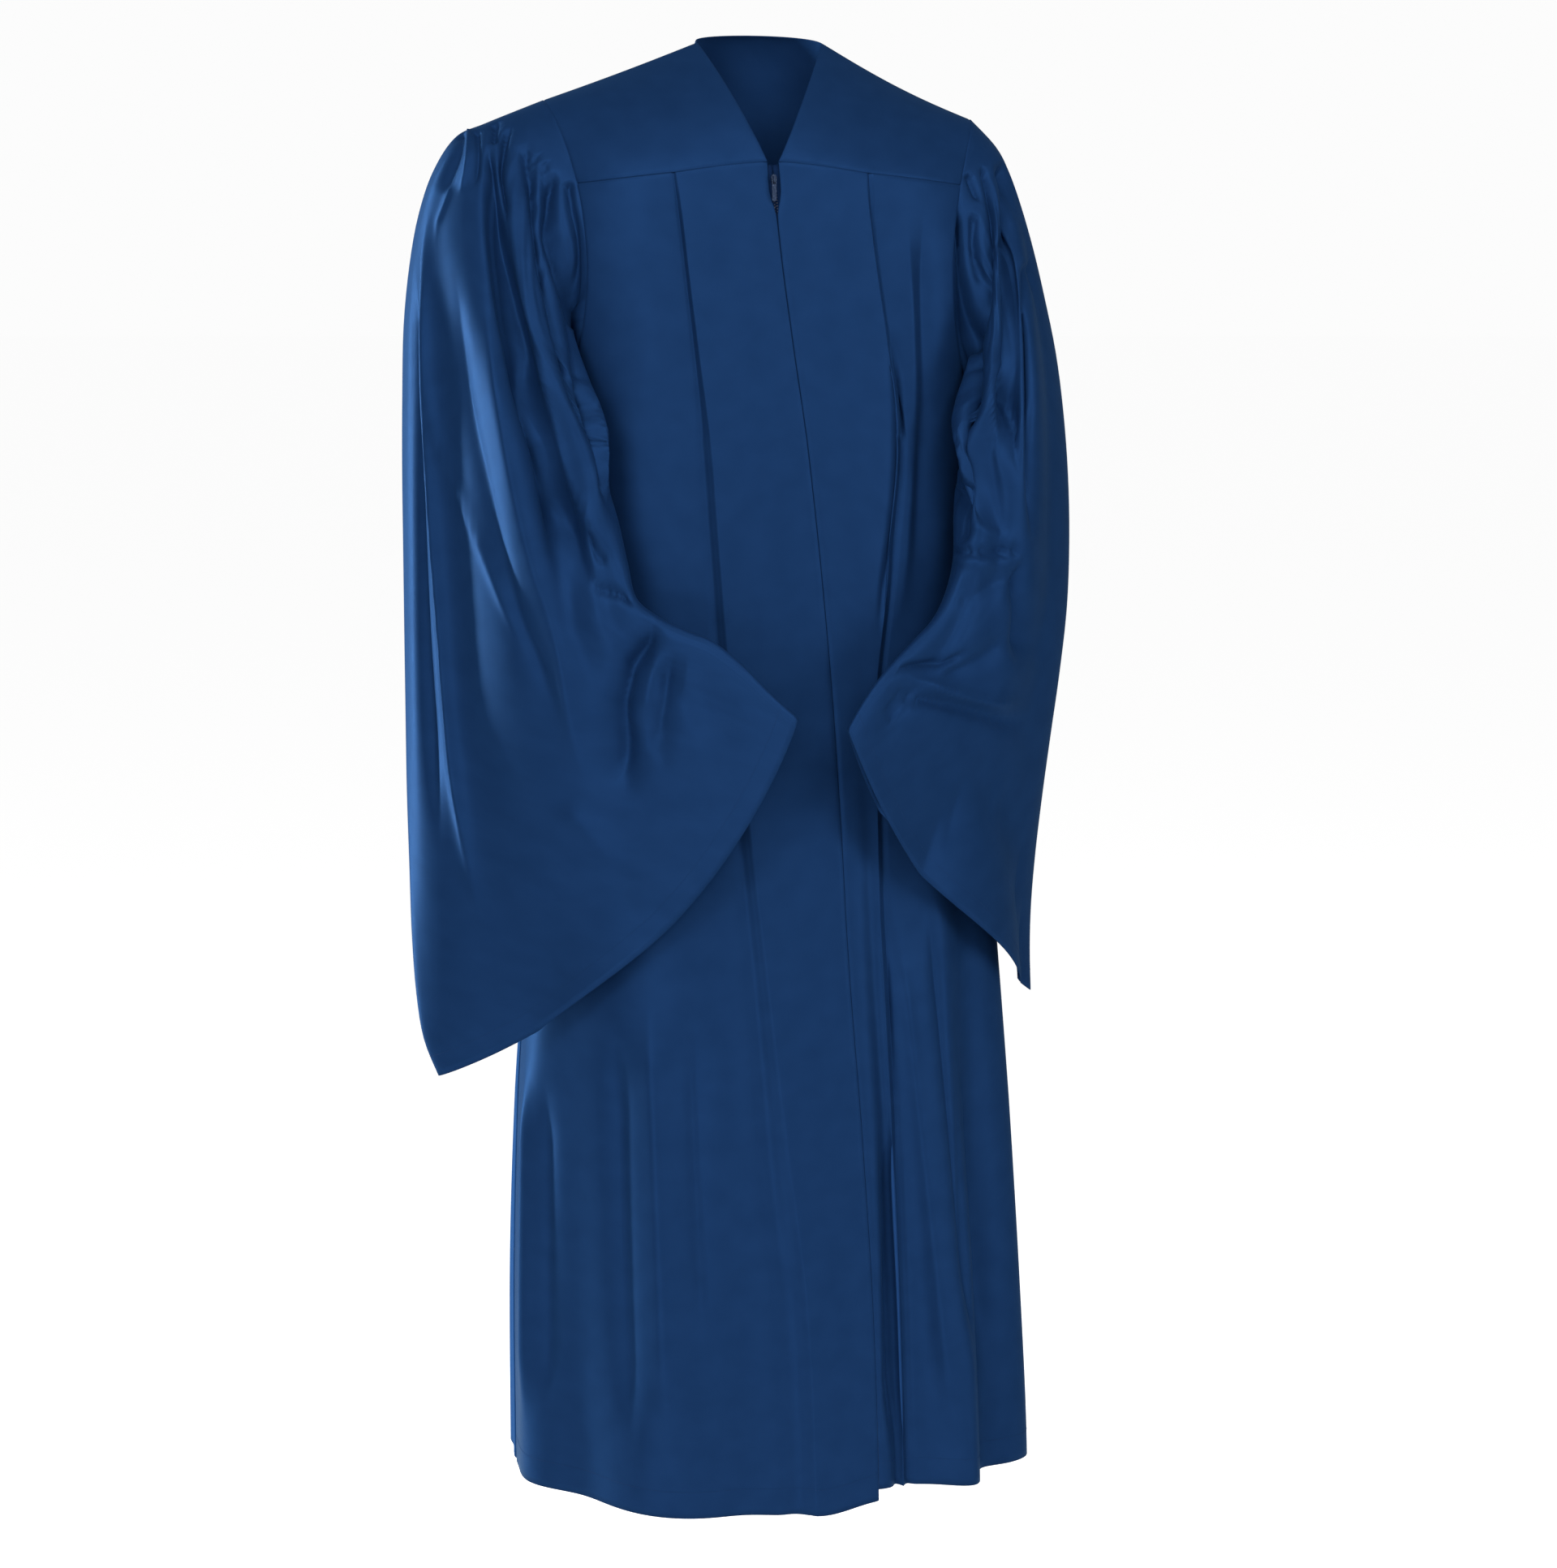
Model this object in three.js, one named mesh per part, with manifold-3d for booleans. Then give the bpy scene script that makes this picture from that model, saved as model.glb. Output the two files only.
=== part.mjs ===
// A graduation gown, filled out as if worn, with nobody in it.
// Millimetres, +Z up. The front faces -Y, and the wearer's left hand is on the +X side.
// The origin lies midway between the two points where the neck opening meets the shoulder seams.

import * as THREE from 'three';
import Module from 'manifold-3d';

// Driving sizes of the cloth
const CLOTH = 2; // thickness of every cloth wall
const SEAM = 0.3; // gap left between two sewn pieces
const ARMHOLE_EASE = 0.5; // gap between a sleeve head and the armhole it is sewn into

// Driving sizes of the gown, measured from the neck points
const HEM_Z = -1355; // a 54 inch gown from shoulder to hem
const UNDERARM_Z = -370; // foot of each armhole
const ROUNDNESS = 2.3; // exponent of the superellipse of a body section
const NECK = { half: 59, z: -4, vX: -5, vY: -112, backY: 78, backZ: 8, backShare: 0.3 };
const YOKE = { middleZ: -117, armholeZ: -136, backZ: -152 };
const ARMHOLE = { x: 204, y: 4, front: 85, back: 84, scoop: 32 };
const SHOULDER = {
  right: { x: 203, z: -58, sag: 1 },
  left: { x: 200, z: -73, sag: 4 },
};
const SIDE = { right: -1, left: 1 };

// Body sections from the yoke seam to the hem. half is the half width, front and back are depths,
// shift moves the section sideways, zip is the x of the centre front line, and the pleat columns
// are the distances from that line to the pleat on each side.
const BODY = [
  { z: -100, half: 204, front: 111, back: 112, shift: 0, zip: -5, right: 88, left: 86 },
  { z: -180, half: 204, front: 116, back: 120, shift: 0, zip: 1, right: 86, left: 87 },
  { z: -270, half: 204, front: 121, back: 125, shift: 0, zip: 12, right: 87, left: 89 },
  { z: -370, half: 204, front: 126, back: 129, shift: 0, zip: 26, right: 89, left: 90 },
  { z: -480, half: 203, front: 130, back: 134, shift: 0, zip: 38, right: 93, left: 68 },
  { z: -600, half: 206, front: 138, back: 140, shift: 0, zip: 48, right: 94, left: 42 },
  { z: -720, half: 214, front: 148, back: 148, shift: 0, zip: 55, right: 86, left: 36 },
  { z: -850, half: 225, front: 159, back: 156, shift: 0, zip: 61, right: 78, left: 34 },
  { z: -1000, half: 235, front: 168, back: 165, shift: 0, zip: 72, right: 73, left: 33 },
  { z: -1170, half: 242, front: 177, back: 176, shift: 2, zip: 82, right: 64, left: 32 },
  { z: -1355, half: 246, front: 186, back: 188, shift: 6, zip: 87, right: 62, left: 32 },
];

// Pleats beside the zip: the cloth drops under the folded edge and rises back to the front.
const PLEAT = { drop: 3.5, edge: 0.035, recover: 0.35, lip: 1.2 };

// Large soft folds of the body. at runs across a panel: on a front, 0 is the zip, 1 the pleat and
// 2 the side; on the back, 0 is the right side and 1 the left. depth is outward where positive.
const FOLDS = {
  front_right: [
    { name: 'side ridge', at: 1.8, width: 0.1, top: -620, depth: 6 },
    { name: 'side hollow', at: 1.58, width: 0.12, top: -760, depth: -10 },
    { name: 'long ridge', at: 1.3, width: 0.15, top: -420, depth: 13 },
    { name: 'inner hollow', at: 1.12, width: 0.07, top: -600, depth: -7 },
  ],
  front_left: [
    { name: 'hollow by the zip', at: 0.85, width: 0.34, top: -560, depth: -20 },
    { name: 'long ridge', at: 1.24, width: 0.1, top: -520, depth: 20 },
    { name: 'side hollow', at: 1.47, width: 0.12, top: -520, depth: -17 },
    { name: 'side ridge', at: 1.76, width: 0.12, top: -560, depth: 9 },
  ],
  back: [
    { name: 'first flute', at: 0.1, width: 0.035, top: -480, depth: 9 },
    { name: 'second flute', at: 0.24, width: 0.04, top: -300, depth: 20 },
    { name: 'third flute', at: 0.37, width: 0.035, top: -260, depth: 17 },
    { name: 'fourth flute', at: 0.5, width: 0.045, top: -300, depth: 22 },
    { name: 'fifth flute', at: 0.64, width: 0.035, top: -260, depth: 16 },
    { name: 'sixth flute', at: 0.77, width: 0.04, top: -320, depth: 20 },
    { name: 'seventh flute', at: 0.9, width: 0.035, top: -500, depth: 9 },
  ],
};
// How far the hem of each front hangs below the plain hem, as a soft wave across the panel.
const HEM_WAVE = {
  right: { at: 0.9, width: 0.6, drop: 11 },
  left: { at: 0.2, width: 0.95, drop: -10 },
};
const BACK_GATHERS = { count: 12, depth: 4, start: 25, foot: -420 };

// Sleeve rings from the line of gathers to the cuff. p is the inner edge (underarm, then inside of
// the elbow, then top of the forearm), q the outer edge (shoulder, then elbow, then hanging corner).
// front and back are the half depths on each side of the line p to q, belly moves the middle of
// the ring along the sleeve, and gather is the height of the gathers.
const SLEEVES = {
  right: {
    rings: [
      { p: [-206, -2, -371], q: [-256, 6, -79], front: 85, back: 84, belly: -44, gather: 1.6 },
      { p: [-203, -22, -372], q: [-284, 8, -92], front: 90, back: 89, belly: -40, gather: 3.6 },
      { p: [-196, -46, -374], q: [-305, 10, -123], front: 95, back: 94, belly: -33, gather: 4.4 },
      { p: [-187, -68, -377], q: [-319, 12, -163], front: 99, back: 97, belly: -24, gather: 4.6 },
      { p: [-178, -86, -381], q: [-328, 13, -210], front: 101, back: 99, belly: -15, gather: 4.2 },
      { p: [-171, -99, -387], q: [-334, 14, -266], front: 100, back: 98, belly: -8, gather: 3.2 },
      { p: [-164, -110, -397], q: [-336, 15, -330], front: 96, back: 94, belly: -3, gather: 2.2 },
      { p: [-157, -120, -413], q: [-337, 16, -400], front: 88, back: 86, belly: 0, gather: 1.2 },
      { p: [-149, -132, -440], q: [-337, 16, -475], front: 76, back: 74, belly: 0, gather: 0 },
      { p: [-142, -148, -478], q: [-337, 14, -550], front: 64, back: 60, belly: 0, gather: 0 },
      { p: [-136, -164, -508], q: [-337, 10, -625], front: 54, back: 46, belly: 4, gather: 0 },
      { p: [-118, -177, -524], q: [-337, 3, -700], front: 46, back: 36, belly: 10, gather: 0 },
      { p: [-96, -189, -535], q: [-336, -7, -770], front: 40, back: 30, belly: 18, gather: 0 },
      { p: [-70, -201, -546], q: [-335, -18, -835], front: 35, back: 26, belly: 27, gather: 0 },
      { p: [-44, -212, -568], q: [-332, -29, -890], front: 31, back: 22, belly: 36, gather: 0 },
      { p: [-20, -221, -593], q: [-326, -39, -932], front: 28, back: 19, belly: 44, gather: 0 },
      { p: [2, -228, -613], q: [-313, -48, -966], front: 26, back: 17, belly: 50, gather: 0 },
    ],
    folds: [
      { name: 'outer ridge', at: 150, width: 13, from: 1, to: 16, depth: 7 },
      { name: 'outer hollow', at: 124, width: 12, from: 3, to: 15, depth: -8 },
      { name: 'middle ridge', at: 94, width: 14, from: 3, to: 14, depth: 9 },
      { name: 'inner hollow', at: 62, width: 11, from: 1, to: 12, depth: -13 },
      { name: 'elbow hollow', at: 38, width: 11, from: 8, to: 15, depth: -9 },
      { name: 'back ridge', at: 232, width: 14, from: 2, to: 15, depth: 8 },
      { name: 'back hollow', at: 272, width: 14, from: 3, to: 13, depth: -10 },
    ],
  },
  left: {
    rings: [
      { p: [206, -2, -371], q: [224, 5, -97], front: 85, back: 84, belly: -24, gather: 1.6 },
      { p: [203, -22, -372], q: [237, 6, -120], front: 89, back: 89, belly: -22, gather: 3.4 },
      { p: [197, -46, -374], q: [248, 7, -153], front: 93, back: 93, belly: -18, gather: 4.2 },
      { p: [190, -68, -377], q: [259, 8, -193], front: 96, back: 96, belly: -13, gather: 4.4 },
      { p: [184, -86, -381], q: [269, 9, -237], front: 97, back: 98, belly: -8, gather: 4.0 },
      { p: [178, -99, -387], q: [280, 10, -290], front: 95, back: 97, belly: -4, gather: 3.0 },
      { p: [173, -110, -397], q: [288, 10, -346], front: 89, back: 93, belly: -2, gather: 2.0 },
      { p: [168, -120, -413], q: [294, 10, -405], front: 80, back: 86, belly: 0, gather: 1.2 },
      { p: [163, -131, -440], q: [297, 9, -467], front: 70, back: 76, belly: 0, gather: 0 },
      { p: [160, -142, -478], q: [296, 7, -533], front: 61, back: 65, belly: 0, gather: 0 },
      { p: [150, -154, -508], q: [290, 4, -598], front: 52, back: 52, belly: 2, gather: 0 },
      { p: [136, -167, -530], q: [282, 0, -659], front: 45, back: 42, belly: 5, gather: 0 },
      { p: [118, -180, -546], q: [274, -5, -715], front: 39, back: 34, belly: 9, gather: 0 },
      { p: [98, -193, -563], q: [267, -10, -768], front: 35, back: 29, belly: 13, gather: 0 },
      { p: [78, -206, -582], q: [262, -15, -818], front: 32, back: 25, belly: 17, gather: 0 },
      { p: [61, -217, -603], q: [260, -20, -862], front: 29, back: 22, belly: 21, gather: 0 },
      { p: [47, -227, -624], q: [260, -26, -903], front: 27, back: 19, belly: 24, gather: 0 },
    ],
    folds: [
      { name: 'outer ridge', at: 150, width: 13, from: 1, to: 15, depth: 6 },
      { name: 'outer hollow', at: 122, width: 12, from: 2, to: 12, depth: -8 },
      { name: 'middle ridge', at: 92, width: 13, from: 2, to: 12, depth: 8 },
      { name: 'inner hollow', at: 60, width: 11, from: 1, to: 10, depth: -12 },
      { name: 'elbow hollow', at: 36, width: 11, from: 9, to: 15, depth: -8 },
      { name: 'back ridge', at: 232, width: 14, from: 2, to: 15, depth: 8 },
      { name: 'back hollow', at: 270, width: 14, from: 3, to: 13, depth: -10 },
    ],
  },
};

// How the sleeve's cloth is shared out, from the underarm to the top line, the same in front and
// behind. head is the angle round the armhole, low the angle round the rings below the gathers, and
// folds the gathers up to there: close together at the corner of the yoke, and three at the top
// that open into the width of the sleeve.
const FULLNESS = [
  { columns: 0, head: 0, low: 0, folds: 0 },
  { columns: 8, head: 104, low: 20, folds: 0 },
  { columns: 32, head: 150, low: 66, folds: 6 },
  { columns: 44, head: 180, low: 180, folds: 9 },
];
const HANGING_RING = 7; // from this ring on, the cloth is shared out as it hangs
const TUCK = { depth: 34, rings: 9 }; // how far the front of the first rings falls over the body
// Room between the body's plain form and a sleeve that lies beside it, and the heights where it grows
const SLEEVE_ROOM = { chest: 9, skirt: 20, beside: 5.4, start: -520, span: 250 };

// Zip behind the centre front line, its slider and the pull tab that hangs from it
const ZIP = { half: 11, thickness: 1.2, behind: 2.8, topZ: -120, footZ: -900 };
const SLIDER = { z: -133, width: 5.4, height: 8, front: 1.4, back: 2.0, bridge: 1.4, wire: 1.1, reach: 3.3 };
const TAB = { width: 4, length: 20, thickness: 1, above: 0.7, windowWidth: 2.4, windowLength: 3.9, corner: 1.6 };
// Half the gap between the fronts where the slider sits, and the heights between which it closes
const SLIT = { half: 3.4, full: -141, foot: -168 };

// How finely each piece is drawn
const DRAW = { pleatColumns: 4, sideColumns: 12, armholeRows: 7, skirtRows: 12, backColumns: 24 };
const GATHERED_RINGS = 4;

// Materials
const CLOTH_COLOUR = new THREE.Color().setRGB(0.012, 0.042, 0.135);
const clothMaterial = new THREE.MeshStandardMaterial({ color: CLOTH_COLOUR, roughness: 0.6, metalness: 0 });
const zipMaterial = new THREE.MeshStandardMaterial({ color: 0x14294f, roughness: 0.55, metalness: 0 });
const metalMaterial = new THREE.MeshStandardMaterial({ color: 0x46587a, roughness: 0.35, metalness: 0.8 });

// Small helpers
const lerp = (from, to, share) => from + (to - from) * share;
const mix = (from, to, share) => from.map((value, axis) => lerp(value, to[axis], share));
const add = (point, step, scale = 1) => point.map((value, axis) => value + step[axis] * scale);
const signedPower = (value, power) => Math.sign(value) * Math.abs(value) ** power;
const bump = (distance, width) => Math.exp(-((distance / width) ** 2));
const smooth = (share) => {
  const clipped = Math.min(1, Math.max(0, share));
  return clipped * clipped * (3 - 2 * clipped);
};

// Reads one column of a table at a height, with a smooth curve through the rows.
function column(table, name, z) {
  const last = table.length - 2;
  let row = table.findIndex((entry, index) => index <= last && z >= table[index + 1].z);
  row = row < 0 ? last : row;
  const at = (index) => table[Math.min(table.length - 1, Math.max(0, index))][name];
  const share = Math.min(1, Math.max(0, (z - table[row].z) / (table[row + 1].z - table[row].z)));
  const [a, b, c, d] = [at(row - 1), at(row), at(row + 1), at(row + 2)];
  const bend = 2 * b - 2 * c + (c - a) / 2 + (d - b) / 2;
  const turn = -3 * b + 3 * c - (c - a) - (d - b) / 2;
  return ((bend * share + turn) * share + (c - a) / 2) * share + b;
}

// A point of an armhole. turn is 0 at the underarm and PI at the shoulder tip, and depth is the
// armhole's half depth, negative towards the front.
function armholePoint(side, turn, depth) {
  const tip = SHOULDER[side];
  const middle = (tip.z + UNDERARM_Z) / 2;
  const half = (tip.z - UNDERARM_Z) / 2;
  const width = lerp(ARMHOLE.x, tip.x, (1 - Math.cos(turn)) / 2) - ARMHOLE.scoop * Math.sin(turn) ** 2;
  return [SIDE[side] * width, ARMHOLE.y + depth * Math.sin(turn), middle - half * Math.cos(turn)];
}

// The same point found by its height.
function armholeAt(side, z, depth) {
  const tip = SHOULDER[side];
  const rise = (z - UNDERARM_Z) / (tip.z - UNDERARM_Z);
  return armholePoint(side, Math.acos(1 - 2 * Math.min(1, Math.max(0, rise))), depth);
}

// The body's section on one side of the front or back, at one height. Above the underarm its
// width is the one that brings it to the edge of the armhole.
function section(side, z, isBack) {
  const depth = column(BODY, isBack ? 'back' : 'front', z);
  const shift = column(BODY, 'shift', z);
  if (z <= UNDERARM_Z) return { half: column(BODY, 'half', z), depth, shift, edge: Math.PI / 2 };
  const [x, y] = armholeAt(side, z, isBack ? ARMHOLE.back : -ARMHOLE.front);
  const share = Math.min(0.95, Math.max(0, isBack ? y : -y) / depth);
  const half = Math.abs(x - shift) / (1 - share ** ROUNDNESS) ** (1 / ROUNDNESS);
  return { half, depth, shift, edge: Math.asin((Math.abs(x - shift) / half) ** (ROUNDNESS / 2)) };
}

// A point of a section at an angle from its middle, moved out by lift.
function sectionPoint(outline, angle, z, lift, isBack) {
  const power = 2 / ROUNDNESS;
  const facing = isBack ? 1 : -1;
  const x = outline.shift + outline.half * signedPower(Math.sin(angle), power);
  const y = facing * outline.depth * signedPower(Math.cos(angle), power);
  const out = [Math.sin(angle) / outline.half, (facing * Math.cos(angle)) / outline.depth];
  const length = Math.hypot(...out);
  return [x + (out[0] / length) * lift, y + (out[1] / length) * lift, z];
}

const angleAt = (outline, x) =>
  Math.asin(Math.max(-1, Math.min(1, signedPower((x - outline.shift) / outline.half, ROUNDNESS / 2))));

// Sum of the large folds at one place of a panel.
function foldLift(panel, at, z) {
  const grown = (fold) => smooth((fold.top - z) / (fold.top - HEM_Z)) ** 0.8;
  return FOLDS[panel].reduce((sum, fold) => sum + fold.depth * grown(fold) * bump(at - fold.at, fold.width), 0);
}

// Height of the cloth round a pleat: proud at the folded edge, low just beyond it.
function pleatLift(at) {
  if (at <= 1) return PLEAT.lip * smooth((at - 0.6) / 0.4);
  return -PLEAT.drop * (1 - smooth((at - 1 - PLEAT.edge) / PLEAT.recover)) * Math.min(1, (at - 1) / PLEAT.edge);
}

// How far a front's edge stands back from the centre line, more where the slider sits.
function slitHalf(z) {
  const open = z > SLIT.full ? 1 : 1 - smooth((SLIT.full - z) / (SLIT.full - SLIT.foot));
  return lerp(SEAM / 2, SLIT.half, open);
}

// A point of a front panel: at is 0 at the zip, 1 at the pleat and 2 at the side or armhole.
function frontPoint(side, at, z, lift = 0) {
  const outline = section(side, z, false);
  const sign = SIDE[side];
  const zip = column(BODY, 'zip', z);
  const zipAngle = angleAt(outline, zip);
  const pleatAngle = angleAt(outline, zip + sign * column(BODY, side, z));
  const sideAngle = sign * (outline.edge - SEAM / 2 / outline.half);
  const angle = at <= 1 ? lerp(zipAngle, pleatAngle, at) : lerp(pleatAngle, sideAngle, at - 1);
  const quiet = smooth((2 - at) / 0.12) * smooth((YOKE.middleZ - 6 - z) / 60);
  const folds = foldLift(`front_${side}`, at, z) + pleatLift(at);
  return sectionPoint(outline, angle, z, folds * quiet + lift, false);
}

// The yoke seam climbs from each armhole to the middle.
const frontSeamZ = (at) => lerp(YOKE.middleZ, YOKE.armholeZ, smooth(at / 2) * 0.35 + (at / 2) * 0.65);

// How far the back's gathers have grown: none in the seam itself, full just below it.
const gathersGrown = (z) =>
  smooth((z - BACK_GATHERS.foot) / (YOKE.backZ - BACK_GATHERS.foot)) * smooth((YOKE.backZ - z) / BACK_GATHERS.start);

// A point of the back panel: at is 0 at the right side and 1 at the left.
function backPoint(at, z, lift = 0) {
  const side = at < 0.5 ? 'right' : 'left';
  const outline = section(side, z, true);
  const edge = outline.edge - SEAM / 2 / outline.half;
  const edgeFade = smooth(Math.min(at, 1 - at) / 0.08);
  const gathers = BACK_GATHERS.depth * gathersGrown(z) * Math.cos(2 * Math.PI * BACK_GATHERS.count * at);
  const folds = (foldLift('back', at, z) + gathers) * edgeFade;
  return sectionPoint(outline, lerp(-edge, edge, at), z, folds + lift, true);
}

// A surface is a list of rows of points. Each row has as many steps as the next one, or twice as many.
function surface(rows, isRing) {
  const points = rows.flat();
  const places = rows.flatMap((row, index) => row.map((unused, step) => [index, step / (row.length - 1)]));
  const triangles = [];
  let start = 0;
  for (let row = 0; row + 1 < rows.length; row += 1) {
    const [here, next] = [rows[row].length, rows[row + 1].length];
    const below = start + here;
    const count = isRing ? next : next - 1;
    const isDouble = here > next;
    for (let step = 0; step < count; step += 1) {
      const [c, d] = [below + step, below + ((step + 1) % next)];
      if (isDouble) {
        const [a, b, e] = [start + 2 * step, start + 2 * step + 1, start + ((2 * step + 2) % here)];
        triangles.push([a, c, b], [b, c, d], [b, d, e]);
      } else {
        const [a, b] = [start + step, start + ((step + 1) % here)];
        triangles.push([a, c, d], [a, d, b]);
      }
    }
    start = below;
  }
  return { points, places, triangles, lastRow: rows.length - 1 };
}

// Gives a surface its thickness on the side away from its outer face and closes its rims. At a
// seam the wall is cut square: square names, for a row and a share of that row, the axes that the
// direction of its thickness leaves out.
function wall({ points, places, triangles, lastRow }, thickness, towards, square = () => []) {
  const normals = points.map(() => new THREE.Vector3());
  const corner = points.map((point) => new THREE.Vector3(...point));
  for (const [a, b, c] of triangles) {
    const ab = corner[b].clone().sub(corner[a]);
    const face = ab.cross(corner[c].clone().sub(corner[a]));
    for (const index of [a, b, c]) normals[index].add(face);
  }
  const middle = new THREE.Vector3(...towards(corner[0].toArray()));
  const facing = normals[0].dot(corner[0].clone().sub(middle)) > 0 ? 1 : -1;
  const inner = corner.map((point, index) => {
    const [row, share] = places[index];
    for (const axis of square(row, share, lastRow)) normals[index].setComponent(axis, 0);
    return point.clone().addScaledVector(normals[index].normalize(), -facing * thickness);
  });
  const count = points.length;
  const edges = new Map();
  for (const triangle of triangles) {
    triangle.forEach((from, index) => edges.set(`${from},${triangle[(index + 1) % 3]}`, [from, triangle[(index + 1) % 3]]));
  }
  const faces = triangles.flatMap(([a, b, c]) => [[a, b, c], [c + count, b + count, a + count]]);
  for (const [from, to] of edges.values()) {
    if (edges.has(`${to},${from}`)) continue;
    faces.push([to, from, from + count], [to, from + count, to + count]);
  }
  const ordered = facing > 0 ? faces : faces.map(([a, b, c]) => [c, b, a]);
  const geometry = new THREE.BufferGeometry();
  const numbers = [...corner, ...inner].flatMap((point) => point.toArray());
  geometry.setAttribute('position', new THREE.Float32BufferAttribute(numbers, 3));
  geometry.setIndex(ordered.flat());
  return geometry;
}

// Axes, as the components of a point
const [ACROSS, AHEAD, UP] = [0, 1, 2];

// A place inside the body at a point's height, which tells a wall which of its faces is the outer one
const bodyAxis = ([, , z]) => [0, 0, z - 40];

// Heights of a panel's rows, closer together beside the armhole.
function rowHeights(topZ) {
  const heights = [];
  for (let row = 0; row < DRAW.armholeRows; row += 1) {
    heights.push(lerp(topZ, UNDERARM_Z, row / DRAW.armholeRows));
  }
  for (let row = 0; row <= DRAW.skirtRows; row += 1) {
    heights.push(lerp(UNDERARM_Z, HEM_Z, row / DRAW.skirtRows));
  }
  return heights;
}

// Where the columns of a front panel run, with two close together at the pleat's edge.
function frontColumns() {
  const columns = [];
  for (let step = 0; step < DRAW.pleatColumns; step += 1) columns.push(step / DRAW.pleatColumns);
  columns.push(1, 1 + PLEAT.edge);
  for (let step = 1; step <= DRAW.sideColumns; step += 1) {
    columns.push(lerp(1 + PLEAT.edge, 2, step / DRAW.sideColumns));
  }
  return columns;
}

const hemDrop = (side, at) => HEM_WAVE[side].drop * bump(at - HEM_WAVE[side].at, HEM_WAVE[side].width);

function frontPanel(side) {
  const columns = frontColumns();
  const width = (z) => column(BODY, side, z);
  const rows = rowHeights(0).map((unused, row) => columns.map((at) => {
    const seamAt = Math.max(at, SLIT.half / width(YOKE.middleZ));
    const hung = rowHeights(frontSeamZ(seamAt) - SEAM / 2)[row];
    const z = hung - hemDrop(side, at) * smooth((UNDERARM_Z - hung) / (UNDERARM_Z - HEM_Z));
    const drawn = at === 0 ? slitHalf(z) / width(z) : at;
    return frontPoint(side, drawn, z);
  }));
  const square = (row, share) => {
    const seams = row === 0 ? [UP] : [];
    if (share === 0) seams.push(ACROSS);
    if (share === 1 && row >= DRAW.armholeRows) seams.push(AHEAD);
    return seams;
  };
  return wall(surface(rows, false), CLOTH, bodyAxis, square);
}

function backPanel() {
  const count = DRAW.backColumns;
  const rows = rowHeights(YOKE.backZ - SEAM / 2).map((z, row) => {
    const steps = row <= GATHERED_RINGS ? 2 * count : count;
    return Array.from({ length: steps + 1 }, (unused, step) => backPoint(step / steps, z));
  });
  const square = (row, share) => {
    if (row === 0) return [UP];
    return row >= DRAW.armholeRows && (share === 0 || share === 1) ? [AHEAD] : [];
  };
  return wall(surface(rows, false), CLOTH, bodyAxis, square);
}

// A patch between four edge curves that meet at their ends, each given over 0 to 1.
function patch(across, top, foot, first, last, down) {
  const corners = [top(0), top(1), foot(0), foot(1)];
  return down.map((t) => across.map((s) => {
    const ruled = mix(mix(corners[0], corners[1], s), mix(corners[2], corners[3], s), t);
    const crossed = add(mix(top(s), foot(s), t), mix(first(t), last(t), s));
    return add(crossed, ruled, -1);
  }));
}

const steps = (count) => Array.from({ length: count + 1 }, (unused, index) => index / count);

// The shoulder seam from the neck point to the shoulder tip, offset to one side of the seam.
function shoulderPoint(side, share, offset) {
  const tip = SHOULDER[side];
  const x = lerp(NECK.half, tip.x, share);
  const sag = tip.sag * Math.sin(Math.PI * share);
  return [SIDE[side] * x, lerp(0, ARMHOLE.y, share) + offset, lerp(NECK.z, tip.z, share) - sag];
}

// The neck edge of a front yoke, from the neck point to the foot of the V.
function neckEdge(side, share) {
  const start = shoulderPoint(side, 0, -SEAM / 2);
  const footX = NECK.vX + SIDE[side] * SLIT.half;
  return [
    lerp(start[0], footX, share),
    lerp(start[1], NECK.vY, 1 - (1 - share) ** 1.5),
    lerp(start[2], YOKE.middleZ + SEAM / 2, share ** 1.06),
  ];
}

// A yoke's wall is cut square along the shoulder seam and along the seam to the panel below.
const yokeSeams = (row, share, lastRow) => {
  if (row === 0) return [AHEAD];
  return row === lastRow ? [UP] : [];
};

function frontYoke(side) {
  const inner = SLIT.half / column(BODY, side, YOKE.middleZ);
  const foot = (s) => {
    const at = lerp(inner, 2, s);
    return frontPoint(side, at, frontSeamZ(at) + SEAM / 2);
  };
  const end = foot(1);
  const start = foot(0);
  const tip = shoulderPoint(side, 1, -SEAM / 2);
  const neck = (t) => add(neckEdge(side, t), add(start, neckEdge(side, 1), -1), t);
  const armhole = (t) => {
    const point = armholeAt(side, lerp(tip[2], end[2], t ** 1.6), -ARMHOLE.front);
    const fromTip = add(tip, armholeAt(side, tip[2], -ARMHOLE.front), -1);
    const toEnd = add(end, armholeAt(side, end[2], -ARMHOLE.front), -1);
    return add(add(point, fromTip, 1 - t), toEnd, t);
  };
  const top = (s) => shoulderPoint(side, s, -SEAM / 2);
  const rows = patch(steps(9), top, foot, neck, armhole, steps(7));
  return wall(surface(rows, false), CLOTH, bodyAxis, yokeSeams);
}

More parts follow.
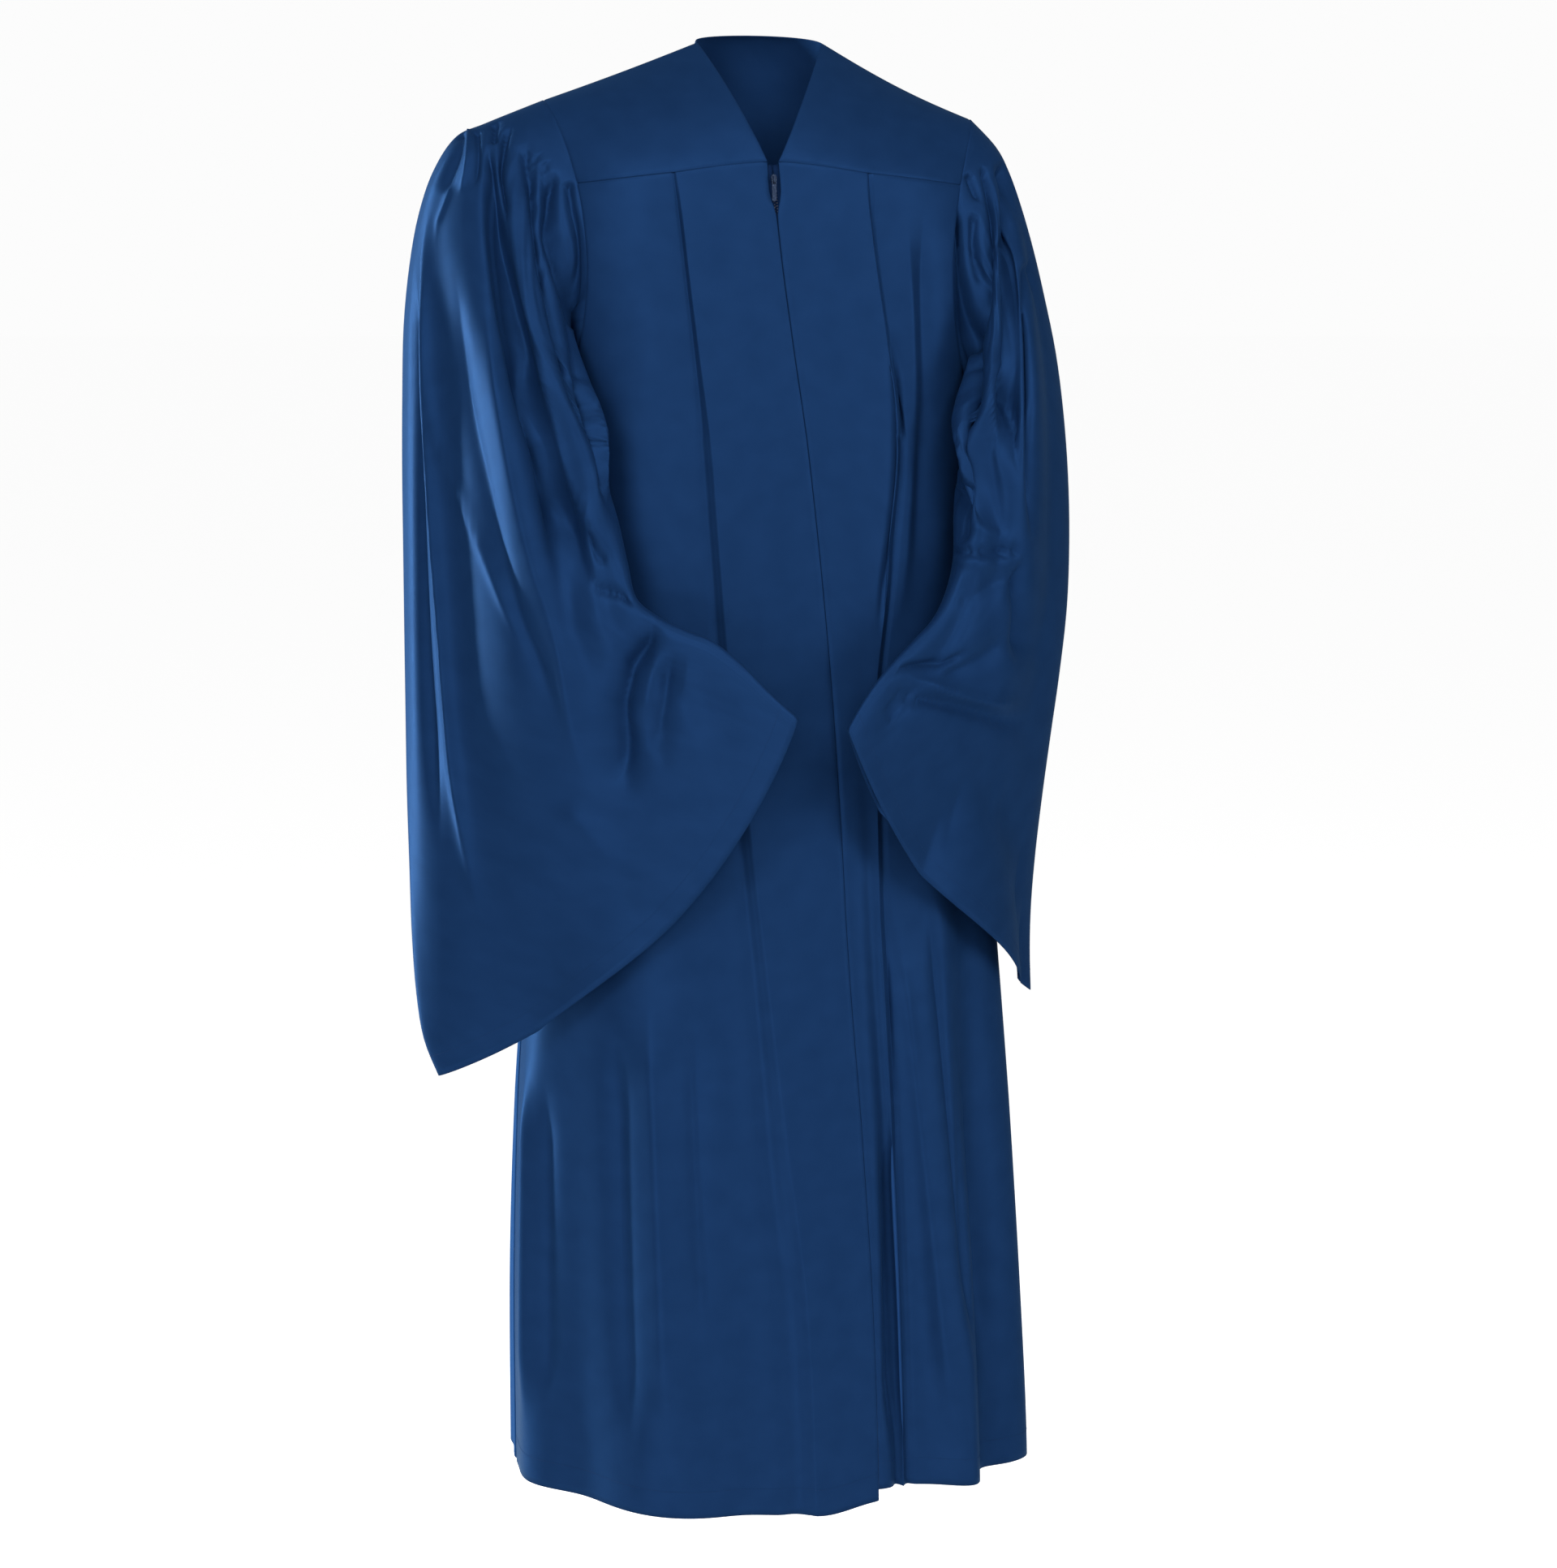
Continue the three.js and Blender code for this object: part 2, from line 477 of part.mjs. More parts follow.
function backYoke() {
  const top = (s) => {
    const side = s < 0.5 ? 'right' : 'left';
    const reach = Math.abs(2 * s - 1);
    const beyond = (reach - NECK.backShare) / (1 - NECK.backShare);
    if (beyond >= 0) return shoulderPoint(side, beyond, SEAM / 2);
    const turn = (reach / NECK.backShare) * (Math.PI / 2);
    const start = shoulderPoint(side, 0, SEAM / 2);
    const rise = Math.cos(turn) ** 0.8;
    return [start[0] * Math.sin(turn), lerp(start[1], NECK.backY, rise), lerp(start[2], NECK.backZ, rise)];
  };
  const foot = (s) => backPoint(s, YOKE.backZ + SEAM / 2);
  const armhole = (side, s) => (t) => {
    const [tip, end] = [top(s), foot(s)];
    const point = armholeAt(side, lerp(tip[2], end[2], t ** 1.6), ARMHOLE.back);
    const fromTip = add(tip, armholeAt(side, tip[2], ARMHOLE.back), -1);
    const toEnd = add(end, armholeAt(side, end[2], ARMHOLE.back), -1);
    return add(add(point, fromTip, 1 - t), toEnd, t);
  };
  const rows = patch(steps(20), top, foot, armhole('right', 0), armhole('left', 1), steps(7));
  return wall(surface(rows, false), CLOTH, bodyAxis, yokeSeams);
}

// Pushes a point of a sleeve out of the body, so that the sleeve lies beside it. Beside the open
// armhole the point is only kept outside the armhole's edge.
function clearOfBody(point, side) {
  const [x, y, z] = point;
  const outline = section(side, z, y > 0);
  const fallen = smooth((SLEEVE_ROOM.start - z) / SLEEVE_ROOM.span);
  const clearance = lerp(SLEEVE_ROOM.chest, SLEEVE_ROOM.skirt, fallen);
  const width = outline.half + clearance;
  const depth = outline.depth + clearance;
  const inside = (Math.abs(x - outline.shift) / width) ** ROUNDNESS + (Math.abs(y) / depth) ** ROUNDNESS;
  if (inside >= 1) return point;
  const [edgeX, edgeY] = armholeAt(side, z, y > 0 ? ARMHOLE.back : -ARMHOLE.front);
  if (z > UNDERARM_Z && Math.abs(y) < Math.abs(edgeY)) {
    return [SIDE[side] * Math.max(Math.abs(x), Math.abs(edgeX) + SLEEVE_ROOM.beside), y, z];
  }
  const scale = inside ** (-1 / ROUNDNESS);
  return [outline.shift + (x - outline.shift) * scale, y * scale, z];
}

// Reads a column of the fullness table at a mesh column, which counts from the underarm round
// either way to the top line.
function fullness(name, place) {
  const row = FULLNESS.findIndex((entry, index) => index > 0 && place <= entry.columns);
  const [from, to] = [FULLNESS[row - 1], FULLNESS[row]];
  return lerp(from[name], to[name], (place - from.columns) / (to.columns - from.columns));
}

// The angle round a ring of one of its columns, in degrees from the inner edge over the front.
function ringAngle(name, share) {
  const columns = FULLNESS[FULLNESS.length - 1].columns;
  const place = share * 2 * columns;
  return place <= columns ? fullness(name, place) : 360 - fullness(name, 2 * columns - place);
}

// One ring of a sleeve as a closed loop of points.
function sleeveRing(side, index, count) {
  const { rings, folds } = SLEEVES[side];
  const ring = rings[index];
  const columns = FULLNESS[FULLNESS.length - 1].columns;
  const middle = new THREE.Vector3(...mix(ring.p, ring.q, 0.5));
  const reach = new THREE.Vector3(...ring.q).sub(new THREE.Vector3(...ring.p));
  const half = reach.length() / 2;
  reach.normalize();
  const front = new THREE.Vector3(0, -1, 0);
  const forward = new THREE.Vector3().crossVectors(front, reach).multiplyScalar(-SIDE[side]).normalize();
  const hung = smooth((index + 1) / (HANGING_RING + 1));
  return Array.from({ length: count }, (unused, step) => {
    const share = step / count;
    const low = ringAngle('low', share);
    const turn = (lerp(ringAngle('head', share), low, hung) * Math.PI) / 180;
    const depth = Math.sin(turn) * (turn <= Math.PI ? ring.front : ring.back);
    const place = columns - Math.abs(2 * share - 1) * columns;
    const gather = -ring.gather * Math.sin(Math.PI * fullness('folds', place)) ** 2;
    const folded = folds.reduce((sum, fold) => {
      const span = (index - fold.from) / (fold.to - fold.from);
      const grown = span > 0 && span < 1 ? Math.sin(Math.PI * span) ** 0.7 : 0;
      return sum + fold.depth * grown * bump(low - fold.at, fold.width);
    }, 0);
    const lift = 2 * gather + folded;
    const point = middle.clone();
    point.addScaledVector(reach, -Math.cos(turn) * (half + lift));
    point.addScaledVector(front, depth + Math.sin(turn) * lift);
    point.addScaledVector(forward, ring.belly * Math.sin(turn) ** 2);
    const tucked = turn < Math.PI / 2 ? Math.sin(2 * turn) ** 2 : 0;
    point.x -= SIDE[side] * TUCK.depth * tucked * Math.sin(Math.PI * Math.min(1, (index + 1) / TUCK.rings));
    return clearOfBody(point.toArray(), side);
  });
}

// The loop that the armhole's seam follows, just outside it.
function armholeLoop(side, count) {
  return Array.from({ length: count }, (unused, step) => {
    const turn = (ringAngle('head', step / count) * Math.PI) / 180;
    const depth = turn <= Math.PI ? -ARMHOLE.front : ARMHOLE.back;
    const point = armholePoint(side, turn <= Math.PI ? turn : 2 * Math.PI - turn, depth);
    return add(point, [SIDE[side] * ARMHOLE_EASE, 0, 0]);
  });
}

function sleeve(side) {
  const sparse = FULLNESS[FULLNESS.length - 1].columns;
  const rings = SLEEVES[side].rings.map((unused, index) =>
    sleeveRing(side, index, index < GATHERED_RINGS ? 2 * sparse : sparse));
  const loops = [armholeLoop(side, 2 * sparse), ...rings];
  const inside = mix(SLEEVES[side].rings[0].p, SLEEVES[side].rings[0].q, 0.5);
  return wall(surface(loops, true), CLOTH, () => inside, (row) => (row === 0 ? [ACROSS] : []));
}

// The zip's tapes and chain in one strip, made from the fronts' points moved in.
function zipStrip() {
    const point = (offset, z) => {
    const side = offset < 0 ? 'right' : 'left';
    return frontPoint(side, Math.abs(offset) / column(BODY, side, z), z, -ZIP.behind);
  };
  const offsets = [-ZIP.half, -ZIP.half / 2, -1, 1, ZIP.half / 2, ZIP.half];
  const rows = steps(16).map((share) => {
    const z = lerp(ZIP.topZ, ZIP.footZ, share);
    return offsets.map((offset) => point(offset, z));
  });
  return wall(surface(rows, false), ZIP.thickness, bodyAxis);
}

// A flat outline given as [across, up] corners, extruded evenly to both sides.
function slab(corners, thickness, hole) {
  const shape = new THREE.Shape(corners.map(([x, y]) => new THREE.Vector2(x, y)));
  if (hole) shape.holes.push(new THREE.Path(hole.map(([x, y]) => new THREE.Vector2(x, y))));
  const geometry = new THREE.ExtrudeGeometry(shape, { depth: thickness, bevelEnabled: false });
  return geometry.translate(0, 0, -thickness / 2);
}

const wasm = await Module();
wasm.setup();

// Corners are merged here, so that the library takes the mesh as one closed solid.
function solidOf(geometry) {
  const places = geometry.getAttribute('position');
  const seen = new Map();
  const corners = [];
  const triangles = [];
  for (let index = 0; index < places.count; index += 1) {
    const point = [places.getX(index), places.getY(index), places.getZ(index)];
    const key = point.map((value) => Math.round(value * 1e4)).join();
    if (!seen.has(key)) {
      seen.set(key, corners.length / 3);
      corners.push(...point);
    }
    triangles.push(seen.get(key));
  }
  const mesh = new wasm.Mesh({
    numProp: 3,
    vertProperties: new Float32Array(corners),
    triVerts: new Uint32Array(triangles),
  });
  return new wasm.Manifold(mesh);
}

function geometryOf(solid) {
  const { vertProperties, triVerts } = solid.getMesh();
  const geometry = new THREE.BufferGeometry();
  geometry.setAttribute('position', new THREE.BufferAttribute(vertProperties, 3));
  geometry.setIndex(new THREE.BufferAttribute(triVerts, 1));
  return geometry;
}

// The slider: a shield shaped body with a bridge over it that holds the tab's bar.
function sliderGeometry() {
  const [half, tall] = [SLIDER.width / 2, SLIDER.height / 2];
  const shield = [[-half, tall * 0.4], [-half * 0.6, tall], [half * 0.6, tall], [half, tall * 0.4],
    [half * 0.75, -tall], [-half * 0.75, -tall]];
  const body = slab(shield, SLIDER.front + SLIDER.back);
  body.rotateX(Math.PI / 2).translate(0, (SLIDER.back - SLIDER.front) / 2, 0);
  const foot = -SLIDER.front + 0.4;
  const crown = -SLIDER.front - SLIDER.reach;
  const [low, wire] = [tall * 0.8, SLIDER.wire];
  const arch = [[foot, -low], [crown, -low], [crown, low], [foot, low],
    [foot, low - wire], [crown + wire, low - wire], [crown + wire, wire - low], [foot, wire - low]];
  const bridge = slab(arch, SLIDER.bridge);
  bridge.applyMatrix4(new THREE.Matrix4().set(0, 0, 1, 0, 1, 0, 0, 0, 0, 1, 0, 0, 0, 0, 0, 1));
  return geometryOf(solidOf(body).add(solidOf(bridge)));
}

// The pull tab hangs from the origin of its own frame, which is on the hinge axis.
function tabGeometry() {
  const half = TAB.width / 2;
  const foot = -TAB.length;
  const toe = half - TAB.corner / 2;
  const outline = [[-half, TAB.above], [-half, foot + TAB.corner], [-toe, foot], [toe, foot],
    [half, foot + TAB.corner], [half, TAB.above]];
  const side = TAB.windowWidth / 2;
  const [top, low] = [-TAB.above, -TAB.above - TAB.windowLength];
  const window = [[-side, top], [side, top], [side, low], [-side, low]];
  return slab(outline, TAB.thickness, window).rotateX(Math.PI / 2);
}

// Assembly
const gown = new THREE.Group();

function place(name, geometry, material, parent = gown) {
  const mesh = new THREE.Mesh(geometry, material);
  mesh.name = name;
  parent.add(mesh);
  return mesh;
}

place('yoke_front_right', frontYoke('right'), clothMaterial);
place('yoke_front_left', frontYoke('left'), clothMaterial);
place('yoke_back', backYoke(), clothMaterial);
place('front_right', frontPanel('right'), clothMaterial);
place('front_left', frontPanel('left'), clothMaterial);
place('back', backPanel(), clothMaterial);
place('sleeve_right', sleeve('right'), clothMaterial);
place('sleeve_left', sleeve('left'), clothMaterial);
place('zip', zipStrip(), zipMaterial);

// The slider lies on the zip and leans with the chest below it.
const lean = (z) => frontPoint('right', 0, z)[1];
const slope = Math.atan2(lean(SLIDER.z) - lean(SLIDER.z - TAB.length), TAB.length);
const pull = new THREE.Group();
pull.position.set(column(BODY, 'zip', SLIDER.z), lean(SLIDER.z), SLIDER.z);
pull.rotation.x = -slope;
gown.add(pull);
place('zip_slider', sliderGeometry(), metalMaterial, pull);
const tab = place('zip_pull_tab', tabGeometry(), metalMaterial, pull);
tab.position.set(0, -SLIDER.front - (SLIDER.reach - SLIDER.wire) / 2, 0);

export default gown;
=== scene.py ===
# %% [markdown]
# # A graduation gown
# The gown is filled out as if worn, with nobody in it. Its solids hold the size, the pose and the
# open hollow form. Here every sewn piece becomes a thin shell on its solid's form, with the creases,
# seams, stitches, zip teeth and cloth that the eye looks for. The camera is the photograph's, and it
# comes first, because the creases are placed as the photograph shows them.

# %% Load the solids and make the camera
import math

import bpy
import numpy as np
from mathutils import Matrix, Vector


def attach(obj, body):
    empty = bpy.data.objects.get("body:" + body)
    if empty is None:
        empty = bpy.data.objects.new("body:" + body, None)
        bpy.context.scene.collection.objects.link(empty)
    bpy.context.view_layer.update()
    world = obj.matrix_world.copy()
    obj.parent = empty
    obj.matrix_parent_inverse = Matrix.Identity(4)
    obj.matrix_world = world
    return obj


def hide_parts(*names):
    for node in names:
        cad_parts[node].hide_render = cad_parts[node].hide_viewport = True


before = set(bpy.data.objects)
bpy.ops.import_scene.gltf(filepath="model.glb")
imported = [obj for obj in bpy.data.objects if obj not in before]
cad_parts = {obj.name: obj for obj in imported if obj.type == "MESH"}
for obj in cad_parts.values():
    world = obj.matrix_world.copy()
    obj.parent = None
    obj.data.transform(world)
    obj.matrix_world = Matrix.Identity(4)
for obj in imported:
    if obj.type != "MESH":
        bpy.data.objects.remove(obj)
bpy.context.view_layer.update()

MM = 0.001
SENSOR = 36  # millimetres
PHOTO = {"width": 1919, "height": 1932, "focal": 4675}  # pixels
# Angles in degrees, lengths in millimetres, and the pixel column that the camera's azimuth points at
VIEW = {"azimuth": -8.0, "distance": 3600, "height": -240, "tilt": 7.3, "axis": 937}


def add_object(name, data):
    made = bpy.data.objects.new(name, data)
    bpy.context.scene.collection.objects.link(made)
    return made


azimuth = math.radians(VIEW["azimuth"])
eye = np.array([math.sin(azimuth), -math.cos(azimuth), 0]) * VIEW["distance"] + [0, 0, VIEW["height"]]
turned = math.atan((PHOTO["width"] / 2 - VIEW["axis"]) / PHOTO["focal"])
ahead = np.array([-math.sin(azimuth - turned), math.cos(azimuth - turned), 0])
right = np.cross(ahead, [0, 0, 1])
tilt = math.radians(VIEW["tilt"])
forward = ahead * math.cos(tilt) - np.array([0, 0, 1]) * math.sin(tilt)
up = np.cross(right, forward)

camera_data = bpy.data.cameras.new("camera")
camera_data.sensor_fit = "VERTICAL"
camera_data.sensor_height = SENSOR
camera_data.lens = SENSOR * PHOTO["focal"] / PHOTO["height"]
camera = add_object("camera", camera_data)
camera.location = eye * MM
camera.rotation_mode = "QUATERNION"
camera.rotation_quaternion = Matrix((right, up, -forward)).transposed().to_quaternion()
bpy.context.scene.camera = camera
print("camera at", [round(value, 3) for value in camera.location], "lens", round(camera_data.lens, 1))


def pixels(points):
    """Where points in millimetres fall in the photograph's frame."""
    away = points - eye
    depth = away @ forward
    across = PHOTO["width"] / 2 + PHOTO["focal"] * (away @ right) / depth
    down = PHOTO["height"] / 2 - PHOTO["focal"] * (away @ up) / depth
    return np.stack([across, down], axis=-1)


# %% [markdown]
# ## Sizes
# The same sizes that shape the solids, in millimetres, so that each shell lies where its solid does.
# A gown of this kind is cut from a few big pieces: a yoke over the shoulders, two fronts with a pleat
# each, a back gathered onto the yoke and two wide bell sleeves gathered into the armholes.

# %% Sizes of the gown
SEAM = 0.3  # the gap between two sewn pieces
ARMHOLE_EASE = 0.5
HEM_Z = -1355
UNDERARM_Z = -370
ROUNDNESS = 2.3  # the power of the body's rounded sections, 2 for an ellipse
NECK = {"half": 59, "z": -4, "v_x": -5, "v_y": -112, "back_y": 78, "back_z": 8, "back_share": 0.3}
NECK_POWERS = {"forward": 1.5, "down": 1.06, "back": 0.8}  # the bends of its front and back edges
YOKE = {"middle_z": -117, "armhole_z": -136, "back_z": -152, "curve": 0.35}
ARMHOLE = {"x": 204, "y": 4, "front": 85, "back": 84, "scoop": 32}
SHOULDER = {
    "right": {"x": 203, "z": -58, "sag": 1},
    "left": {"x": 200, "z": -73, "sag": 4},
}
SIDE = {"right": -1, "left": 1}
SLIT = {"half": 3.4, "full": -141, "foot": -168}
PLEAT = {"drop": 3.5, "edge": 0.035, "recover": 0.35, "lip": 1.2, "lip_from": 0.6}
PLEAT_OPENS = {"z": -660, "over": 500}
HEM_WAVE = {
    "right": {"at": 0.9, "width": 0.6, "drop": 11},
    "left": {"at": 0.2, "width": 0.95, "drop": -10},
}
BACK_GATHERS = {"count": 12, "depth": 4, "start": 25, "foot": -420, "sides": 0.08}
TUCK = {"depth": 34, "rings": 9}
SLEEVE_ROOM = {"chest": 9, "skirt": 20, "beside": 5.4, "start": -520, "span": 250}
ZIP = {"half": 11, "behind": 2.8, "top_z": -120, "foot_z": -900}

# Body sections: half width, depths, sideways shift, x of the zip, distances from it to the pleats
BODY_COLUMNS = ("z", "half", "front", "back", "shift", "zip", "right", "left")
BODY = np.array([
    (-100, 204, 111, 112, 0, -5, 88, 86),
    (-180, 204, 116, 120, 0, 1, 86, 87),
    (-270, 204, 121, 125, 0, 12, 87, 89),
    (-370, 204, 126, 129, 0, 26, 89, 90),
    (-480, 203, 130, 134, 0, 38, 93, 68),
    (-600, 206, 138, 140, 0, 48, 94, 42),
    (-720, 214, 148, 148, 0, 55, 86, 36),
    (-850, 225, 159, 156, 0, 61, 78, 34),
    (-1000, 235, 168, 165, 0, 72, 73, 33),
    (-1170, 242, 177, 176, 2, 82, 64, 32),
    (-1355, 246, 186, 188, 6, 87, 62, 32),
], dtype=float)

# Large folds: place across the panel, width, height where it begins, depth outwards
FOLD_GROWTH = 0.8
FOLDS = {
    "front_right": [
        (1.8, 0.1, -620, 6),
        (1.58, 0.12, -760, -10),
        (1.3, 0.15, -420, 13),
        (1.12, 0.07, -600, -7),
    ],
    "front_left": [
        (0.85, 0.34, -560, -20),
        (1.24, 0.1, -520, 20),
        (1.47, 0.12, -520, -17),
        (1.76, 0.12, -560, 9),
    ],
    "back": [
        (0.1, 0.035, -480, 9),
        (0.24, 0.04, -300, 20),
        (0.37, 0.035, -260, 17),
        (0.5, 0.045, -300, 22),
        (0.64, 0.035, -260, 16),
        (0.77, 0.04, -320, 20),
        (0.9, 0.035, -500, 9),
    ],
}

# Sleeve rings: x, y, z of the inner edge, x, y, z of the outer edge, depth in front, depth behind, and
# how far the ring's middle bellies along the sleeve
RINGS = {
    "right": np.array([
        (-206, -2, -371, -256, 6, -79, 85, 84, -44),
        (-203, -22, -372, -284, 8, -92, 90, 89, -40),
        (-196, -46, -374, -305, 10, -123, 95, 94, -33),
        (-187, -68, -377, -319, 12, -163, 99, 97, -24),
        (-178, -86, -381, -328, 13, -210, 101, 99, -15),
        (-171, -99, -387, -334, 14, -266, 100, 98, -8),
        (-164, -110, -397, -336, 15, -330, 96, 94, -3),
        (-157, -120, -413, -337, 16, -400, 88, 86, 0),
        (-149, -132, -440, -337, 16, -475, 76, 74, 0),
        (-142, -148, -478, -337, 14, -550, 64, 60, 0),
        (-136, -164, -508, -337, 10, -625, 54, 46, 4),
        (-118, -177, -524, -337, 3, -700, 46, 36, 10),
        (-96, -189, -535, -336, -7, -770, 40, 30, 18),
        (-70, -201, -546, -335, -18, -835, 35, 26, 27),
        (-44, -212, -568, -332, -29, -890, 31, 22, 36),
        (-20, -221, -593, -326, -39, -932, 28, 19, 44),
        (2, -228, -613, -313, -48, -966, 26, 17, 50),
    ], dtype=float),
    "left": np.array([
        (206, -2, -371, 224, 5, -97, 85, 84, -24),
        (203, -22, -372, 237, 6, -120, 89, 89, -22),
        (197, -46, -374, 248, 7, -153, 93, 93, -18),
        (190, -68, -377, 259, 8, -193, 96, 96, -13),
        (184, -86, -381, 269, 9, -237, 97, 98, -8),
        (178, -99, -387, 280, 10, -290, 95, 97, -4),
        (173, -110, -397, 288, 10, -346, 89, 93, -2),
        (168, -120, -413, 294, 10, -405, 80, 86, 0),
        (163, -131, -440, 297, 9, -467, 70, 76, 0),
        (160, -142, -478, 296, 7, -533, 61, 65, 0),
        (150, -154, -508, 290, 4, -598, 52, 52, 2),
        (136, -167, -530, 282, 0, -659, 45, 42, 5),
        (118, -180, -546, 274, -5, -715, 39, 34, 9),
        (98, -193, -563, 267, -10, -768, 35, 29, 13),
        (78, -206, -582, 262, -15, -818, 32, 25, 17),
        (61, -217, -603, 260, -20, -862, 29, 22, 21),
        (47, -227, -624, 260, -26, -903, 27, 19, 24),
    ], dtype=float),
}

# Large folds of the sleeves: angle in degrees, width, first and last ring, depth outwards
SLEEVE_FOLDS = {
    "right": [
        (150, 13, 1, 16, 7),
        (124, 12, 3, 15, -8),
        (94, 14, 3, 14, 9),
        (62, 11, 1, 12, -13),
        (38, 11, 8, 15, -9),
        (232, 14, 2, 15, 8),
        (272, 14, 3, 13, -10),
    ],
    "left": [
        (150, 13, 1, 15, 6),
        (122, 12, 2, 12, -8),
        (92, 13, 2, 12, 8),
        (60, 11, 1, 10, -12),
        (36, 11, 9, 15, -8),
        (232, 14, 2, 15, 8),
        (270, 14, 3, 13, -10),
    ],
}
print("sizes for", len(BODY), "body sections and", len(RINGS["right"]), "rings a sleeve")


# %% [markdown]
# ## The form
# The body is a stack of rounded sections that widen towards the hem. Above the underarm a section
# ends at the edge of the armhole. Each function below gives whole grids of points at once.

# %% Points on the form
def smooth(share):
    clipped = np.clip(share, 0, 1)
    return clipped * clipped * (3 - 2 * clipped)


def bump(distance, width):
    return np.exp(-((distance / width) ** 2))


def lerp(start, end, share):
    return start + (end - start) * share


def curve_through(a, b, c, d, share):
    """A smooth curve from b to c that heads for its neighbours a and d."""
    bend = 2 * b - 2 * c + (c - a) / 2 + (d - b) / 2
    turn = -3 * b + 3 * c - (c - a) - (d - b) / 2
    return ((bend * share + turn) * share + (c - a) / 2) * share + b


def body(name, z):
    """One column of the table of body sections, at heights z."""
    heights, values = BODY[:, 0], BODY[:, BODY_COLUMNS.index(name)]
    row = np.clip(np.searchsorted(-heights[1:], -np.asarray(z, float)), 0, len(BODY) - 2)
    share = np.clip((z - heights[row]) / (heights[row + 1] - heights[row]), 0, 1)
    near = [values[np.clip(row + step, 0, len(BODY) - 1)] for step in (-1, 0, 1, 2)]
    return curve_through(*near, share)


def armhole_point(side, turn, depth):
    tip = SHOULDER[side]
    middle, half = (tip["z"] + UNDERARM_Z) / 2, (tip["z"] - UNDERARM_Z) / 2
    width = lerp(ARMHOLE["x"], tip["x"], (1 - np.cos(turn)) / 2) - ARMHOLE["scoop"] * np.sin(turn) ** 2
    x = SIDE[side] * width
    y = ARMHOLE["y"] + depth * np.sin(turn)
    return np.stack(np.broadcast_arrays(x, y, middle - half * np.cos(turn)), axis=-1)


def armhole_at(side, z, depth):
    rise = (z - UNDERARM_Z) / (SHOULDER[side]["z"] - UNDERARM_Z)
    return armhole_point(side, np.arccos(1 - 2 * np.clip(rise, 0, 1)), depth)


DEEPEST_EDGE = 0.95  # how deep in its section an armhole's edge may lie


def section(side, z, is_back):
    """Half width, depth, shift and last angle of the body's section at heights z."""
    depth = body("back" if is_back else "front", z)
    shift = body("shift", z)
    edge = armhole_at(side, z, ARMHOLE["back"] if is_back else -ARMHOLE["front"])
    share = np.clip((edge[..., 1] if is_back else -edge[..., 1]) / depth, 0, DEEPEST_EDGE)
    reach = np.abs(edge[..., 0] - shift)
    open_half = reach / (1 - share**ROUNDNESS) ** (1 / ROUNDNESS)
    is_low = z <= UNDERARM_Z
    half = np.where(is_low, body("half", z), open_half)
    last = np.where(is_low, math.pi / 2, np.arcsin(np.clip(reach / half, 0, 1) ** (ROUNDNESS / 2)))
    return half, depth, shift, last


def signed_power(value, power):
    return np.sign(value) * np.abs(value) ** power


def section_point(outline, angle, z, lift, is_back):
    half, depth, shift, _ = outline
    facing = 1 if is_back else -1
    x = shift + half * signed_power(np.sin(angle), 2 / ROUNDNESS)
    y = facing * depth * signed_power(np.cos(angle), 2 / ROUNDNESS)
    out_x, out_y = np.sin(angle) / half, facing * np.cos(angle) / depth
    length = np.hypot(out_x, out_y)
    parts = np.broadcast_arrays(x + out_x / length * lift, y + out_y / length * lift, z)
    return np.stack(parts, axis=-1)


def angle_at(outline, x):
    half, _, shift, _ = outline
    return np.arcsin(np.clip(signed_power((x - shift) / half, ROUNDNESS / 2), -1, 1))


def fold_lift(panel, at, z):
    total = 0
    for place, width, top, depth in FOLDS[panel]:
        grown = smooth((top - z) / (top - HEM_Z)) ** FOLD_GROWTH
        total = total + depth * grown * bump(at - place, width)
    return total


def pleat_lift(at):
    lip = PLEAT["lip"] * smooth((at - PLEAT["lip_from"]) / (1 - PLEAT["lip_from"]))
    recovered = 1 - smooth((at - 1 - PLEAT["edge"]) / PLEAT["recover"])
    drop = -PLEAT["drop"] * recovered * np.minimum(1, (at - 1) / PLEAT["edge"])
    return np.where(at <= 1, lip, drop)


def slit_half(z):
    closed = smooth((SLIT["full"] - z) / (SLIT["full"] - SLIT["foot"]))
    return lerp(SEAM / 2, SLIT["half"], np.where(z > SLIT["full"], 1, 1 - closed))


# A front's folds begin this far from its side and under its yoke seam, and are full a little lower
QUIET = {"side": 0.12, "under_seam": 6, "grown": 60}


def front_point(side, at, z, lift=0):
    """A point of a front panel: at is 0 at the zip, 1 at the pleat and 2 at the side."""
    outline = section(side, z, False)
    sign = SIDE[side]
    zip_x = body("zip", z)
    zip_angle = angle_at(outline, zip_x)
    pleat_angle = angle_at(outline, zip_x + sign * body(side, z))
    side_angle = sign * (outline[3] - SEAM / 2 / outline[0])
    beyond = lerp(pleat_angle, side_angle, at - 1)
    angle = np.where(at <= 1, lerp(zip_angle, pleat_angle, at), beyond)
    below = smooth((YOKE["middle_z"] - QUIET["under_seam"] - z) / QUIET["grown"])
    folds = fold_lift("front_" + side, at, z) + pleat_lift(at)
    folded = folds * (smooth((2 - at) / QUIET["side"]) * below)
    return section_point(outline, angle, z, folded + lift, False)


def front_seam_z(at):
    share = smooth(at / 2) * YOKE["curve"] + at / 2 * (1 - YOKE["curve"])
    return lerp(YOKE["middle_z"], YOKE["armhole_z"], share)


def gathers_grown(z):
    foot, top = BACK_GATHERS["foot"], YOKE["back_z"]
    return smooth((z - foot) / (top - foot)) * smooth((top - z) / BACK_GATHERS["start"])


